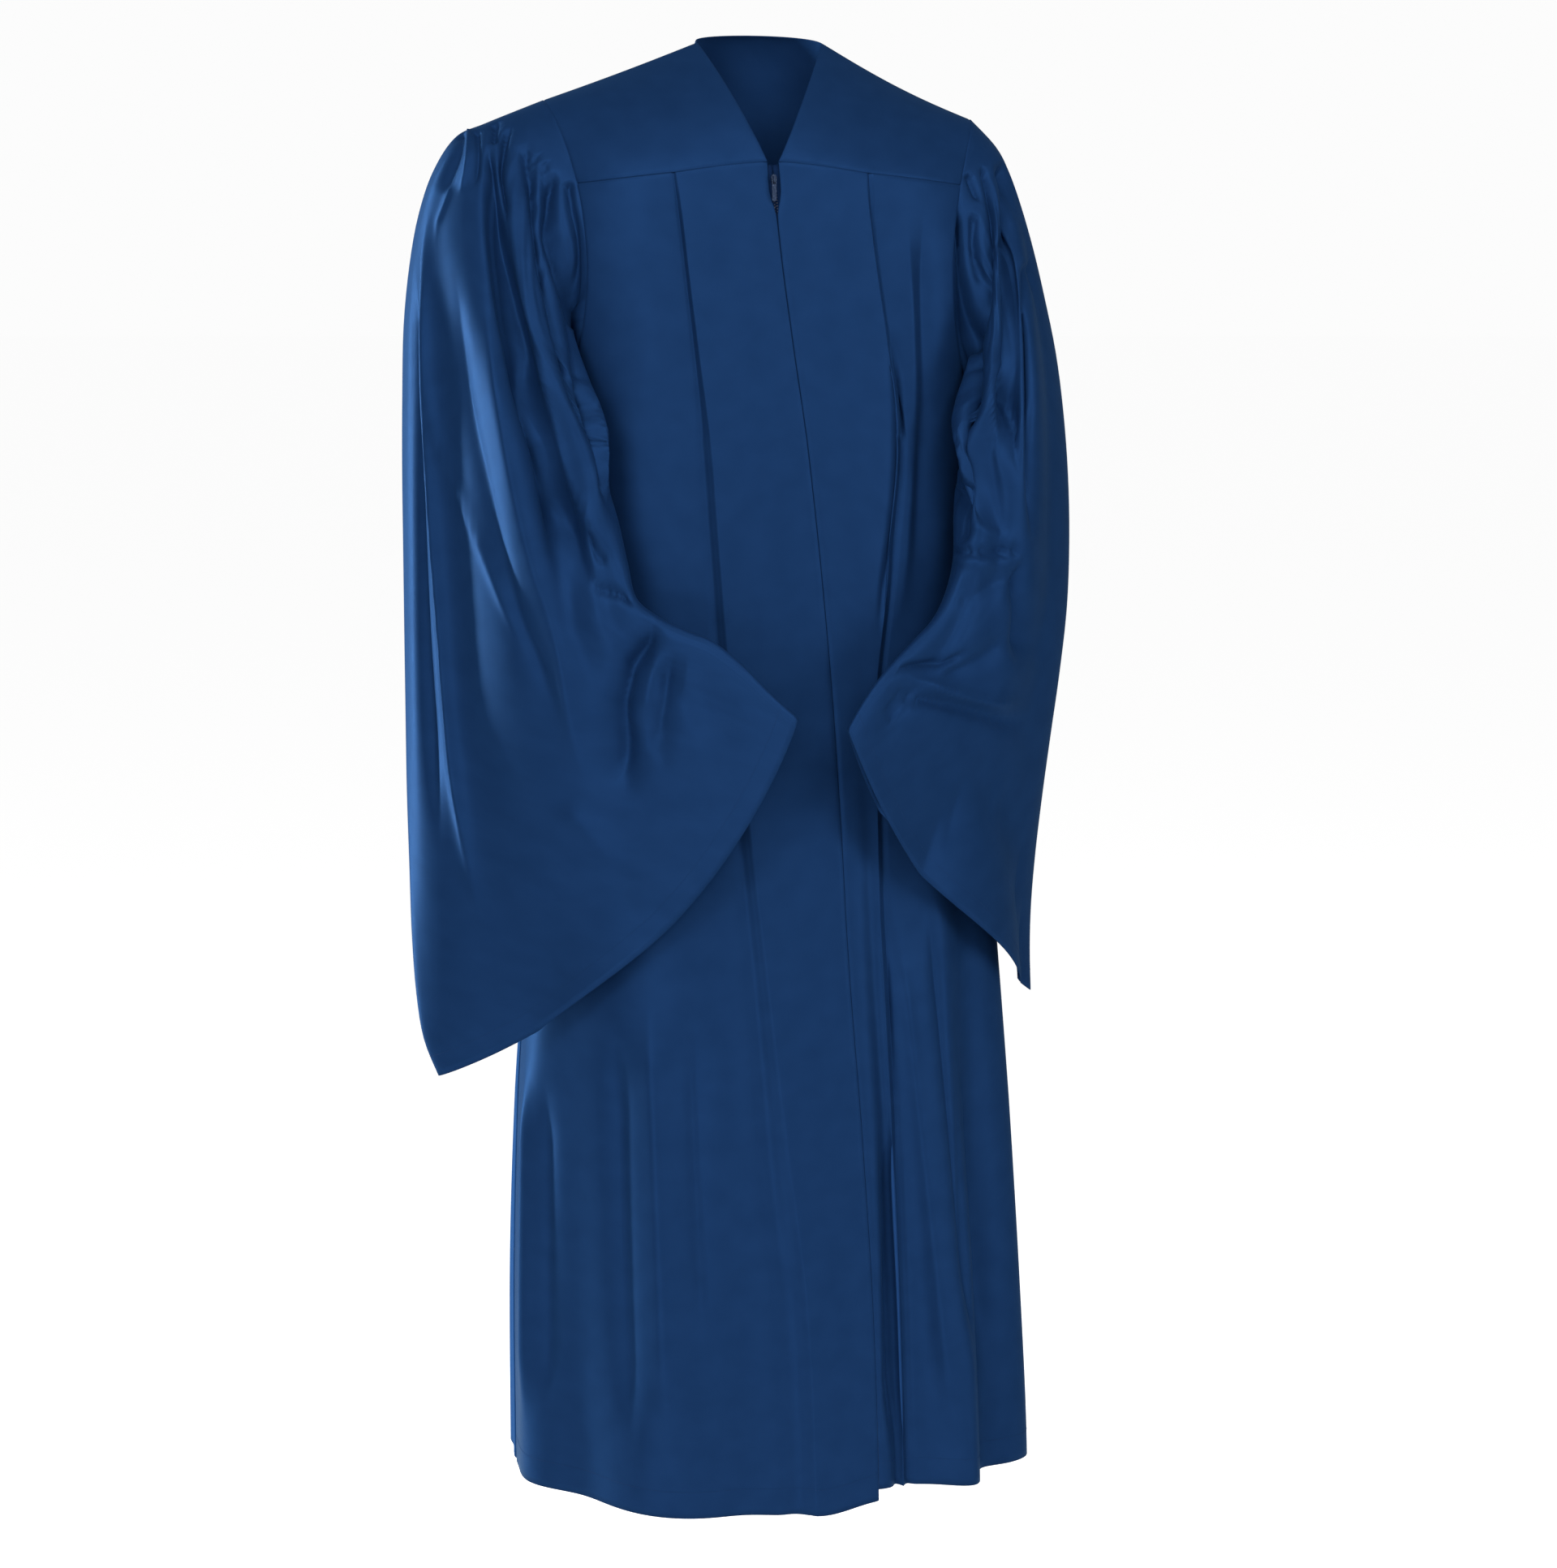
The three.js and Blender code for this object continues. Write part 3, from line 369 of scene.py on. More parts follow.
def clear_of_sides(at):
    """0 at the back's two side seams, where it has no gathers and no folds, and 1 a little inside."""
    return smooth(np.minimum(at, 1 - at) / BACK_GATHERS["sides"])


def back_point(at, z, lift=0):
    """A point of the back panel: at is 0 at the right side and 1 at the left."""
    at, z = np.broadcast_arrays(np.asarray(at, float), np.asarray(z, float))
    rights, lefts = section("right", z, True), section("left", z, True)
    outline = [np.where(at < 0.5, one, other) for one, other in zip(rights, lefts)]
    edge = outline[3] - SEAM / 2 / outline[0]
    wave = BACK_GATHERS["depth"] * gathers_grown(z) * np.cos(2 * math.pi * BACK_GATHERS["count"] * at)
    folds = (fold_lift("back", at, z) + wave) * clear_of_sides(at)
    return section_point(outline, lerp(-edge, edge, at), z, folds + lift, True)


CHEST_Z = -300.0
chest_half = float(section("right", np.array(CHEST_Z), False)[0])
print("chest is", round(2 * chest_half), "mm wide at the armholes")


# %% [markdown]
# ## Creases
# Cloth that hangs shows troughs and ridges that a table of large folds can't give. Each crease here is
# a path in the photograph's frame, with its width in pixels at both ends, its depth in millimetres
# (outwards where positive) and a lean: how much wider it is on the right than on the left, for a path
# that runs down. A sculpted mesh or a cloth simulation could also give folds, but a path can be read
# and moved. The right sleeve has sharp gathers at its head, long falls below them and soft folds at
# the elbow.

# %% Creases of the right sleeve
GATHERS_RIGHT = [
    ([(602, 176), (605, 237), (611, 291), (618, 331), (626, 376), (636, 420), (646, 478), (661, 533),
      (681, 610), (700, 671), (723, 714), (752, 748)], (5, 20), -14, 1.3),
    ([(625, 157), (620, 186), (618, 230), (623, 275)], (4, 5), -6, 1),
    ([(611, 152), (609, 162), (608, 178)], (4, 4), -4, 1),
    ([(645, 175), (649, 208), (656, 242), (662, 282), (670, 331), (681, 371), (692, 420), (706, 469),
      (722, 530), (738, 590)], (4, 8), -10, 1),
    ([(659, 190), (657, 215), (656, 245)], (3, 4), -2, 1),
    ([(670, 199), (671, 225), (674, 258)], (3, 4), -2.5, 1),
    ([(681, 209), (677, 237), (676, 264), (679, 291), (690, 320), (703, 353), (717, 393), (725, 431),
      (733, 478), (745, 540), (758, 600), (768, 650)], (5, 19), -16, 1.1),
    ([(700, 222), (703, 250), (710, 282), (714, 309), (714, 344), (711, 376)], (4, 6), -7, 1),
    ([(570, 158), (565, 186), (554, 216), (545, 240)], (6, 9), -3, 0.8),
    ([(577, 157), (576, 186), (573, 216), (566, 240)], (3, 4), 3, 1),
    ([(588, 160), (588, 190), (584, 230)], (4, 5), -3, 1),
    ([(556, 230), (547, 255), (536, 284)], (3, 3), 2, 1),
]
FALLS_RIGHT = [
    ([(531, 240), (523, 309), (524, 353), (526, 420), (529, 516), (537, 661), (546, 777), (560, 951),
      (581, 1085), (593, 1150)], (5, 8), 10, 1.6),
    ([(511, 290), (509, 430), (512, 560), (516, 680), (522, 800), (531, 920), (544, 1060)],
     (6, 10), -7, 1),
    ([(526, 440), (533, 490), (545, 557), (580, 644), (621, 748), (655, 820)], (4, 5), 3.2, 1.6),
    ([(593, 350), (606, 430), (621, 516), (637, 603), (659, 700), (676, 751), (694, 824), (708, 912),
      (731, 990)], (13, 22), 11, 0.9),
    ([(562, 330), (573, 480), (603, 620), (637, 751), (663, 812), (690, 883), (713, 941)],
     (9, 12), -4, 1),
    ([(650, 420), (672, 490), (702, 604), (717, 633), (746, 671), (765, 690)], (8, 10), 7, 1),
    ([(720, 657), (737, 683), (750, 694)], (6, 6), -5, 1),
]
ELBOW_RIGHT = [
    ([(723, 718), (746, 727), (767, 734), (782, 748)], (4, 5), -6, 1),
    ([(806, 750), (798, 790), (776, 828), (764, 870), (768, 920), (766, 985)], (12, 22), -17, 0.8),
    ([(813, 790), (803, 835), (794, 885)], (9, 13), 4, 1),
    ([(829, 796), (822, 830), (817, 865), (812, 900), (808, 950)], (7, 12), -7, 1),
    ([(850, 800), (846, 850), (842, 910)], (8, 12), 3, 1),
    ([(690, 985), (720, 1020), (760, 1060)], (18, 18), 4, 1),
    ([(543, 1279), (566, 1272), (592, 1264)], (3, 3), 1.2, 1),
]

# %% [markdown]
# The left forearm is bent more, so its folds run across the elbow. The fronts hang in long soft falls,
# and both skirts swing out between them.

# %% Creases of the left sleeve and of the fronts
GATHERS_LEFT = [
    ([(1168, 226), (1174, 259), (1180, 286), (1183, 331), (1187, 375), (1193, 420), (1196, 478),
      (1195, 560), (1199, 598), (1211, 631), (1237, 660)], (5, 15), -13, 1),
    ([(1193, 214), (1199, 230), (1207, 249)], (4, 4), -4, 1),
    ([(1201, 262), (1200, 308), (1207, 342), (1213, 364), (1207, 398), (1201, 431)], (4, 6), -7, 1),
    ([(1212, 204), (1218, 230), (1222, 264), (1221, 308), (1216, 353), (1213, 400)], (4, 5), -9, 1),
    ([(1231, 196), (1243, 230), (1245, 275), (1241, 320), (1242, 364), (1238, 409), (1238, 454),
      (1246, 528), (1267, 606)], (7, 9), -10, 1),
    ([(1267, 320), (1266, 364), (1265, 420), (1268, 478), (1273, 560), (1274, 624), (1272, 676)],
     (5, 6), -7, 1),
    ([(1230, 300), (1229, 380), (1222, 480), (1230, 560), (1244, 620)], (7, 9), 5, 1),
    ([(1178, 600), (1182, 640), (1183, 673)], (8, 9), -8, 1),
]
ELBOW_LEFT = [
    ([(1160, 677), (1199, 679), (1237, 679), (1274, 677)], (4, 4), -7, 0.6),
    ([(1172, 691), (1210, 694), (1252, 691)], (6, 8), 5, 1),
    ([(1188, 640), (1219, 655), (1255, 671)], (7, 8), 4, 1),
    ([(1269, 680), (1260, 706), (1258, 728), (1262, 752), (1261, 790), (1254, 825)], (9, 14), -13, 1),
    ([(1260, 702), (1224, 722), (1182, 750)], (10, 14), -4, 1),
    ([(1094, 824), (1135, 820), (1173, 813), (1202, 801)], (4, 5), -6, 1),
    ([(1150, 838), (1178, 829), (1214, 810), (1247, 783)], (9, 12), -5, 1),
    ([(1090, 846), (1135, 861), (1173, 871), (1209, 881), (1239, 890), (1272, 886)], (5, 8), -6.5, 1.4),
    ([(1100, 830), (1160, 848), (1215, 862), (1262, 868)], (7, 9), 7, 1),
    ([(1094, 864), (1098, 874), (1103, 886)], (4, 4), -4, 1),
]
FALLS_FRONT_LEFT = [
    ([(1138, 250), (1138, 375), (1140, 478), (1135, 560), (1132, 636), (1122, 739)], (12, 17), -4.5, 1),
    ([(1118, 260), (1126, 400), (1128, 520), (1118, 680), (1100, 800)], (10, 10), 4, 1),
    ([(1096, 400), (1109, 480), (1110, 560), (1107, 610), (1099, 675), (1089, 739), (1081, 795)],
     (6, 6), -5, 0.8),
    ([(1100, 1107), (1129, 1337), (1157, 1567), (1180, 1796)], (16, 20), 10, 1),
    ([(1142, 1084), (1159, 1222), (1182, 1452), (1211, 1700)], (13, 18), -8, 1.2),
    ([(1090, 1370), (1096, 1500), (1098, 1640), (1100, 1796)], (6, 9), -6, 1),
]
FALLS_FRONT_RIGHT = [
    ([(650, 1300), (648, 1450), (647, 1600), (647, 1770)], (5, 7), 7, 1),
    ([(672, 1320), (672, 1500), (674, 1750)], (11, 15), -5, 1),
    ([(800, 1225), (808, 1400), (816, 1600), (824, 1800)], (16, 20), 9, 1),
    ([(757, 1255), (763, 1450), (770, 1650), (778, 1810)], (16, 18), -6, 1),
    ([(852, 1230), (862, 1450), (874, 1700)], (16, 20), -6, 1),
]

# The share of a path over which its crease begins, and how much deeper its troughs are pressed
ABRUPT = {"begin": 0.05, "gain": 1.8}
SOFT = {"begin": 0.22, "gain": 1.4}
GENTLE = {"begin": 0.3, "gain": 1.1}
CREASES = {
    "sleeve_right": [(GATHERS_RIGHT, ABRUPT), (FALLS_RIGHT, SOFT), (ELBOW_RIGHT, GENTLE)],
    "sleeve_left": [(GATHERS_LEFT, ABRUPT), (ELBOW_LEFT, GENTLE)],
    "front_left": [(FALLS_FRONT_LEFT, SOFT)],
    "front_right": [(FALLS_FRONT_RIGHT, SOFT)],
}
print({name: sum(len(paths) for paths, _ in groups) for name, groups in CREASES.items()}, "creases")


# %% [markdown]
# The cloth that faces the camera is pressed in or raised along its own normal, most on the path and
# less beside it, and the effect fades towards both ends of the path. A narrow crease can't be deep, so
# its depth is limited by its width.

# %% Pressing creases into cloth
STEEPEST = 2.8  # how deep a crease may be for its width
PIXEL = 0.77  # millimetres of cloth in one pixel
END_FADE = 0.25  # the share of a path over which its crease ends
FALL_OFF = 1.4  # the power of a crease's cross section, 2 for a round one
FACING = 0.25  # cloth turned further away than this isn't creased


def smooth_path(path, steps=5):
    """The points of a path, joined by smooth curves."""
    path = np.array(path, float)
    padded = np.concatenate([2 * path[:1] - path[1:2], path, 2 * path[-1:] - path[-2:-1]])
    share = np.arange(steps)[:, None] / steps
    spans = [curve_through(*padded[start:start + 4], share) for start in range(len(path) - 1)]
    return np.concatenate([*spans, path[-1:]])


def path_effect(at, path, width, lean, begin):
    """How strongly a crease works at pixels, and how wide it is there."""
    path = smooth_path(path)
    lengths = np.hypot(*np.diff(path, axis=0).T)
    nearest = np.full(at.shape[:-1], np.inf)
    along = np.zeros(at.shape[:-1])
    side = np.ones(at.shape[:-1])
    passed = 0
    for start, end, length in zip(path[:-1], path[1:], lengths):
        step = (end - start) / length
        share = np.clip((at - start) @ step / length, 0, 1)
        away = at - (start + share[..., None] * (end - start))
        gap = np.hypot(away[..., 0], away[..., 1])
        closer = gap < nearest
        along = np.where(closer, (passed + share * length) / lengths.sum(), along)
        side = np.where(closer, np.sign(away @ np.array([step[1], -step[0]])), side)
        nearest = np.minimum(nearest, gap)
        passed += length
    wide = lerp(width[0], width[1], along)
    near = np.exp(-((nearest / (wide * np.where(side > 0, lean, 1))) ** FALL_OFF))
    return near * smooth(along / begin) * smooth((1 - along) / END_FADE), wide


def crease(points, normals, name):
    """Moves the cloth that faces the camera along its normals, by the creases of one piece."""
    towards = eye - points
    towards = towards / np.linalg.norm(towards, axis=-1, keepdims=True)
    facing = smooth((normals * towards).sum(axis=-1) / FACING)
    at = pixels(points)
    lift = np.zeros(facing.shape)
    for paths, kind in CREASES.get(name, []):
        for path, width, depth, lean in paths:
            effect, wide = path_effect(at, path, width, lean, kind["begin"])
            wanted = abs(depth) * (kind["gain"] if depth < 0 else 1)
            lift += math.copysign(1, depth) * np.minimum(wanted, STEEPEST * wide * PIXEL) * effect
    return points + normals * (lift * facing)[..., None]


print("every crease fades over the last", END_FADE, "of its length")


# %% [markdown]
# ## Shells of cloth
# A shell is a grid of points, turned into a mesh with a UV map in metres along and across the cloth,
# so that its weave has one scale on every piece. A Solidify modifier gives the thickness inwards.

# %% Grids to shells
SHELL = 0.9 * MM


def grid_normals(points, inside, is_ring=False):
    """Normals of a grid of points, away from the points of inside."""
    if is_ring:
        padded = np.concatenate([points[:, -1:], points, points[:, :1]], axis=1)
        across = padded[:, 2:] - padded[:, :-2]
    else:
        across = np.gradient(points, axis=1)
    down = np.gradient(points, axis=0)
    normals = np.cross(across, down)
    normals /= np.linalg.norm(normals, axis=-1, keepdims=True) + 1e-9
    agrees = (normals * (points - inside)).sum()
    return normals if agrees > 0 else -normals


def run(points, axis):
    """How far along one axis of a grid its points lie, measured over the cloth."""
    steps = np.linalg.norm(np.diff(points, axis=axis), axis=-1)
    return np.cumsum(np.insert(steps, 0, 0, axis=axis), axis=axis)


def faces_of(grid):
    """What a grid holds at the four corners of each of its faces."""
    return np.stack([grid[:-1, :-1], grid[1:, :-1], grid[1:, 1:], grid[:-1, 1:]], axis=2)


def shell(name, points, inside, is_ring=False):
    """Makes a shell from a grid of points in millimetres."""
    rows, columns = points.shape[:2]
    index = np.arange(rows * columns).reshape(rows, columns)
    if is_ring:
        index = np.concatenate([index, index[:, :1]], axis=1)
    quads = faces_of(index)
    closed = np.concatenate([points, points[:, :1]], axis=1) if is_ring else points
    across = run(closed, 1)
    corners = faces_of(np.stack([across, run(closed, 0)], axis=-1) * MM)
    first = np.cross(points[1, 0] - points[0, 0], points[0, 1] - points[0, 0])
    normal = grid_normals(points, inside, is_ring)[0, 0]
    if first @ normal < 0:
        quads = quads[..., ::-1]
        corners = corners[:, :, ::-1]
    mesh = bpy.data.meshes.new(name)
    mesh.from_pydata((points.reshape(-1, 3) * MM).tolist(), [], quads.reshape(-1, 4).tolist())
    mesh.uv_layers.new(name="cloth").data.foreach_set("uv", corners.reshape(-1))
    mesh.polygons.foreach_set("use_smooth", [True] * len(mesh.polygons))
    piece = add_object(name, mesh)
    thickness = piece.modifiers.new("thickness", "SOLIDIFY")
    thickness.thickness = SHELL
    thickness.offset = -1
    thickness.material_offset = 1
    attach(piece, "root")
    print(name, len(mesh.polygons), "faces", round(float(across[:, -1].mean())), "mm across")
    return piece


NEAR_SEAM = np.array([0, 0.8, 1.6, 2.6, 4, 6])  # millimetres, where a seam rolls in


def spread(length, step):
    """Distances down to a length, closer together beside the seam they start from."""
    count = max(2, round((length - NEAR_SEAM[-1]) / step))
    return np.concatenate([NEAR_SEAM[:-1], np.linspace(NEAR_SEAM[-1], length, count)])


def roll(distance, depth=0.6, width=1.8):
    """How far cloth turns in beside a seam."""
    return -depth * bump(distance, width)


# %% [markdown]
# ## Fronts
# Each front is one tall panel with a pressed pleat about 9 cm from the zip. Beside every seam the cloth
# rolls in a little, which draws the fine dark line that a seam makes. The pleat lies flat at the chest
# and opens in the skirt. The mesh is finest beside the seams and the pleat.

# %% Front panels
FRONT_ROW = 7.0
FRONT_MESH = {"near_zip": 22, "pleat": 7, "beyond": 84}  # mesh columns
AT_PLEAT, AT_SIDE = 110, 130  # about how many millimetres one step of at measures there
PLEAT_ROLL = {"depth": (1.7, 4.2), "width": (1.3, 1.9)}  # at the chest and where the pleat is open
PLEAT_ROLL_AT = 0.8  # where on the pleat's edge the cloth rolls in
ZIP_ROLL = {"depth": 1.2, "width": 2.4}


def front_columns():
    edge = 1 + PLEAT["edge"]
    across = np.linspace(0.11, 0.93, FRONT_MESH["near_zip"])
    near_zip = np.concatenate([[0, 0.01, 0.022, 0.04, 0.07], across])
    on_pleat = 1 + PLEAT["edge"] * np.linspace(0, 1, FRONT_MESH["pleat"])
    near_pleat = np.concatenate([[0.965, 0.985], on_pleat])
    wide = np.linspace(edge + 0.012, 1.96, FRONT_MESH["beyond"])
    beyond = np.concatenate([wide, [1.975, 1.988, 1.995, 2]])
    return np.concatenate([near_zip, near_pleat, beyond])[None, :]


def front_grid(side):
    at = front_columns()
    start = SLIT["half"] / body(side, YOKE["middle_z"])
    top = front_seam_z(np.maximum(at, start)) - SEAM / 2
    below = spread(top.max() - HEM_Z, FRONT_ROW)[:, None]
    hung = top - below * (top - HEM_Z) / (top.max() - HEM_Z)
    wave = HEM_WAVE[side]
    drop = wave["drop"] * bump(at - wave["at"], wave["width"])
    z = hung - drop * smooth((UNDERARM_Z - hung) / (UNDERARM_Z - HEM_Z))
    width = body(side, z)
    inner = slit_half(z) / width
    drawn = np.where(at < 1, inner + at * (1 - inner), at)
    from_pleat = (drawn - 1 - PLEAT_ROLL_AT * PLEAT["edge"]) * AT_PLEAT
    opened = smooth((PLEAT_OPENS["z"] - z) / PLEAT_OPENS["over"])
    pleat_roll = {key: lerp(*ends, opened) for key, ends in PLEAT_ROLL.items()}
    lift = roll(top - z) + roll((drawn - inner) * width, **ZIP_ROLL) + roll((2 - drawn) * AT_SIDE)
    return front_point(side, drawn, z, lift + roll(from_pleat, **pleat_roll))


def body_inside(points):
    inside = np.zeros(points.shape)
    inside[..., 2] = points[..., 2]
    return inside


GRIDS = {}  # the points of each piece with a hem, kept for the stitches that follow it
pieces = {}
for side in SIDE:
    name = "front_" + side
    points = front_grid(side)
    inside = body_inside(points)
    GRIDS[name] = crease(points, grid_normals(points, inside), name)
    pieces[name] = shell("cloth_" + name, GRIDS[name], inside)


# %% [markdown]
# ## Back
# The back is as wide as both fronts together and is gathered onto the yoke, so it hangs in flutes. No
# two gathers are alike, so a second wave of uneven pitch lies over the first. The back's allowance lies
# under the fronts at both side seams, as it would when sewn, and closes the gap between the pieces.

# %% Back panel
SIDE_ALLOWANCE = {"inward": 1.4, "bend": 0.1, "under": 5, "grown": 30}
BACK_COLUMNS, BACK_ROW = 221, 7.5
BACK_WIDTH = 600  # about how many millimetres the back measures across
UNEVEN = {"depth": 2.4, "count": 19, "drift": 0.4, "turns": 9}


def back_grid():
    at = np.linspace(0, 1, BACK_COLUMNS)[None, :]
    top = YOKE["back_z"] - SEAM / 2
    z = (top - spread(top - HEM_Z, BACK_ROW))[:, None]
    lift = roll(top - z) + roll(np.minimum(at, 1 - at) * BACK_WIDTH)
    turn = UNEVEN["count"] * at + UNEVEN["drift"] * np.sin(UNEVEN["turns"] * at)
    uneven = UNEVEN["depth"] * gathers_grown(z) * np.sin(2 * math.pi * turn)
    return back_point(at, z, lift + uneven * clear_of_sides(at))


def with_allowance(points):
    """The back's grid with the cloth that lies under the fronts at both side seams."""
    low = smooth((UNDERARM_Z - points[:, :1, 2:]) / SIDE_ALLOWANCE["grown"])
    inward = SIDE_ALLOWANCE["inward"]
    columns = [points]
    for forward in (SIDE_ALLOWANCE["bend"], SIDE_ALLOWANCE["under"]):
        at_right = points[:, :1] + low * [inward, -forward, 0]
        at_left = points[:, -1:] + low * [-inward, -forward, 0]
        columns = [at_right, *columns, at_left]
    return np.concatenate(columns, axis=1)


GRIDS["back"] = back_grid()
points = with_allowance(GRIDS["back"])
pieces["back"] = shell("cloth_back", points, body_inside(points))


# %% [markdown]
# ## Yoke
# The yoke carries the gown on the shoulders. It is plain, and stretched between four edges: the
# shoulder seam, the seam to the panel below, the neck edge and the armhole.

# %% Yoke pieces
YOKE_SIZE = {"across": 190, "down": 120, "back_across": 400, "back_down": 150}  # about, in millimetres
ABOVE_YOKE = np.array([0, 0, -40.0])  # the inside of a yoke lies this much lower than its points
YOKE_MESH = {"inner": 9, "steps": 40, "back_steps": 121}
SCOOP = 1.6  # how early an armhole's edge runs down along a yoke


def patch(across, top, foot, first, last, down):
    """A grid stretched between four edges, each given by a function of the share along it."""
    s, t = across[None, :, None], down[:, None, None]
    corners = [edge(np.array([end])) for edge in (top, foot) for end in (0.0, 1.0)]
    ruled = lerp(lerp(corners[0], corners[1], s), lerp(corners[2], corners[3], s), t)
    crossed = lerp(top(across)[None], foot(across)[None], t)
    return crossed + lerp(first(down)[:, None], last(down)[:, None], s) - ruled


def shoulder_point(side, share, offset):
    tip = SHOULDER[side]
    x = SIDE[side] * lerp(NECK["half"], tip["x"], share)
    y = lerp(0, ARMHOLE["y"], share) + offset
    z = lerp(NECK["z"], tip["z"], share) - tip["sag"] * np.sin(math.pi * share)
    return np.stack([x, y, z], axis=-1)


def neck_edge(side, share):
    """The front neck edge, from the shoulder seam down to the slit."""
    start = shoulder_point(side, np.array(0.0), -SEAM / 2)
    foot_x = NECK["v_x"] + SIDE[side] * SLIT["half"]
    x = lerp(start[0], foot_x, share)
    y = lerp(start[1], NECK["v_y"], 1 - (1 - share) ** NECK_POWERS["forward"])
    z = lerp(start[2], YOKE["middle_z"] + SEAM / 2, share ** NECK_POWERS["down"])
    return np.stack([x, y, z], axis=-1)


def held_at_ends(curve, start, end):
    """The curve, shifted so that it begins and ends at two given points."""
    def fitted(share):
        begin, finish = curve(np.array([0.0])), curve(np.array([1.0]))
        t = share[:, None]
        return curve(share) + (start - begin) * (1 - t) + (end - finish) * t
    return fitted


def rolled_patch(points, distances):
    normals = grid_normals(points, body_inside(points) + ABOVE_YOKE)
    lift = sum(roll(distance) for distance in distances)
    return points + normals * lift[..., None]


def yoke_steps(size):
    """Shares of an edge, closer together at both ends."""
    near = NEAR_SEAM / size
    inner = YOKE_MESH["inner"] / size
    return np.concatenate([near, np.linspace(inner, 1 - inner, YOKE_MESH["steps"]), 1 - near[::-1]])


def front_yoke(side):
    inner = SLIT["half"] / body(side, YOKE["middle_z"])

    def foot(share):
        at = lerp(inner, 2, share)
        return front_point(side, at, front_seam_z(at) + SEAM / 2)

    def top(share):
        return shoulder_point(side, share, -SEAM / 2)

    tip, end = top(np.array([1.0]))[0], foot(np.array([1.0]))[0]

    def armhole(share):
        return armhole_at(side, lerp(tip[2], end[2], share**SCOOP), -ARMHOLE["front"])

    def neck(share):
        return neck_edge(side, share)

    inner_edge = held_at_ends(neck, top(np.array([0.0])), foot(np.array([0.0])))
    outer_edge = held_at_ends(armhole, tip[None], end[None])
    wide, deep = YOKE_SIZE["across"], YOKE_SIZE["down"]
    across, down = yoke_steps(wide), yoke_steps(deep)
    points = patch(across, top, foot, inner_edge, outer_edge, down)
    s, t = across[None, :], down[:, None]
    return rolled_patch(points, [s * wide, (1 - s) * wide, (1 - t) * deep])


def back_yoke():
    def top(share):
        reach = np.abs(2 * share - 1)
        sides = np.where(share < 0.5, -1, 1)
        straight = (reach - NECK["back_share"]) / (1 - NECK["back_share"])
        ends = {side: shoulder_point(side, np.maximum(straight, 0), SEAM / 2) for side in SIDE}
        seam = np.where((sides < 0)[:, None], ends["right"], ends["left"])
        turn = np.minimum(reach / NECK["back_share"], 1) * math.pi / 2
        rise = np.cos(turn) ** NECK_POWERS["back"]
        neck = np.stack([sides * NECK["half"] * np.sin(turn), lerp(SEAM / 2, NECK["back_y"], rise),
                         lerp(NECK["z"], NECK["back_z"], rise)], axis=-1)
        return np.where((straight >= 0)[:, None], seam, neck)

    def foot(share):
        return back_point(share, YOKE["back_z"] + SEAM / 2)

    edges = {}
    for side, end in (("right", 0.0), ("left", 1.0)):
        tip, low = top(np.array([end]))[0], foot(np.array([end]))[0]

        def armhole(share, side=side, tip=tip, low=low):
            return armhole_at(side, lerp(tip[2], low[2], share**SCOOP), ARMHOLE["back"])

        edges[side] = held_at_ends(armhole, tip[None], low[None])
    middle = np.linspace(0.02, 0.98, YOKE_MESH["back_steps"])
    across = np.concatenate([[0, 0.002, 0.005, 0.01], middle, [0.99, 0.995, 0.998, 1]])
    down = yoke_steps(YOKE_SIZE["back_down"])
    points = patch(across, top, foot, edges["right"], edges["left"], down)
    from_sides = np.minimum(across, 1 - across)[None, :] * YOKE_SIZE["back_across"]
    return rolled_patch(points, [from_sides, (1 - down[:, None]) * YOKE_SIZE["back_down"]])


for name, points in (("yoke_front_right", front_yoke("right")), ("yoke_front_left", front_yoke("left")),
                     ("yoke_back", back_yoke())):
    pieces[name] = shell("cloth_" + name, points, body_inside(points) + ABOVE_YOKE)


# %% [markdown]
# ## Sleeves
# A bell sleeve is a wide tube that is gathered into the armhole and hangs open at the cuff. The rings
# of the table are joined by smooth curves. The gathers start on a line a little outside the armhole
# seam, close together at the corner of the yoke, and open out as they run down. Where a crease or a
# fold would reach the body, the cloth is laid beside it and evened out, as real cloth would give way.

# %% Sleeve shells
FULLNESS = np.array([  # column, angle round the armhole, angle lower down, gathers so far
    (0, 0, 0, 0),
    (8, 104, 20, 0),
    (32, 150, 66, 6),
    (44, 180, 180, 9),
], dtype=float)
HANGING_RING = 7
COLUMNS = {"front": (30, 130, 110), "back": (10, 36, 30)}  # mesh columns in each span of that table
ROWS = [12] * 4 + [4] * 5 + [10] * 5 + [4] * 3  # mesh rows from ring to ring, more at head and elbow
GATHER = {"front": 0.7, "back": 4.0}  # millimetres deep
GATHER_RINGS = {"first": 0.9, "later": 0.8, "early": 0.5, "over": 1.2, "full": 1.5, "last": 6.5}
GATHER_LATER = {"from": 60, "over": 80}  # degrees from the underarm, where the gathers start later
UNLIKE = {"depth": (0.35, 2.7, 1.1), "length": (0.3, 1.9, 0.4)}  # how one gather differs from the next
FOLD_ENDS = 0.7  # a power: a sleeve's fold is soon full at both ends
ALLOWANCE = {"under": 3.5, "scale": 0.984}  # the cloth turned in at the armhole
APART = {"room": 7, "first": 8, "grown": 3}  # millimetres between a forearm's front and back, by ring
PRESSED = -1.5  # how much closer to the body a crease may bring the cloth
EVENED = {"full": 2, "wider": 5, "fall": 0.9, "passes": 20, "share": 0.6}


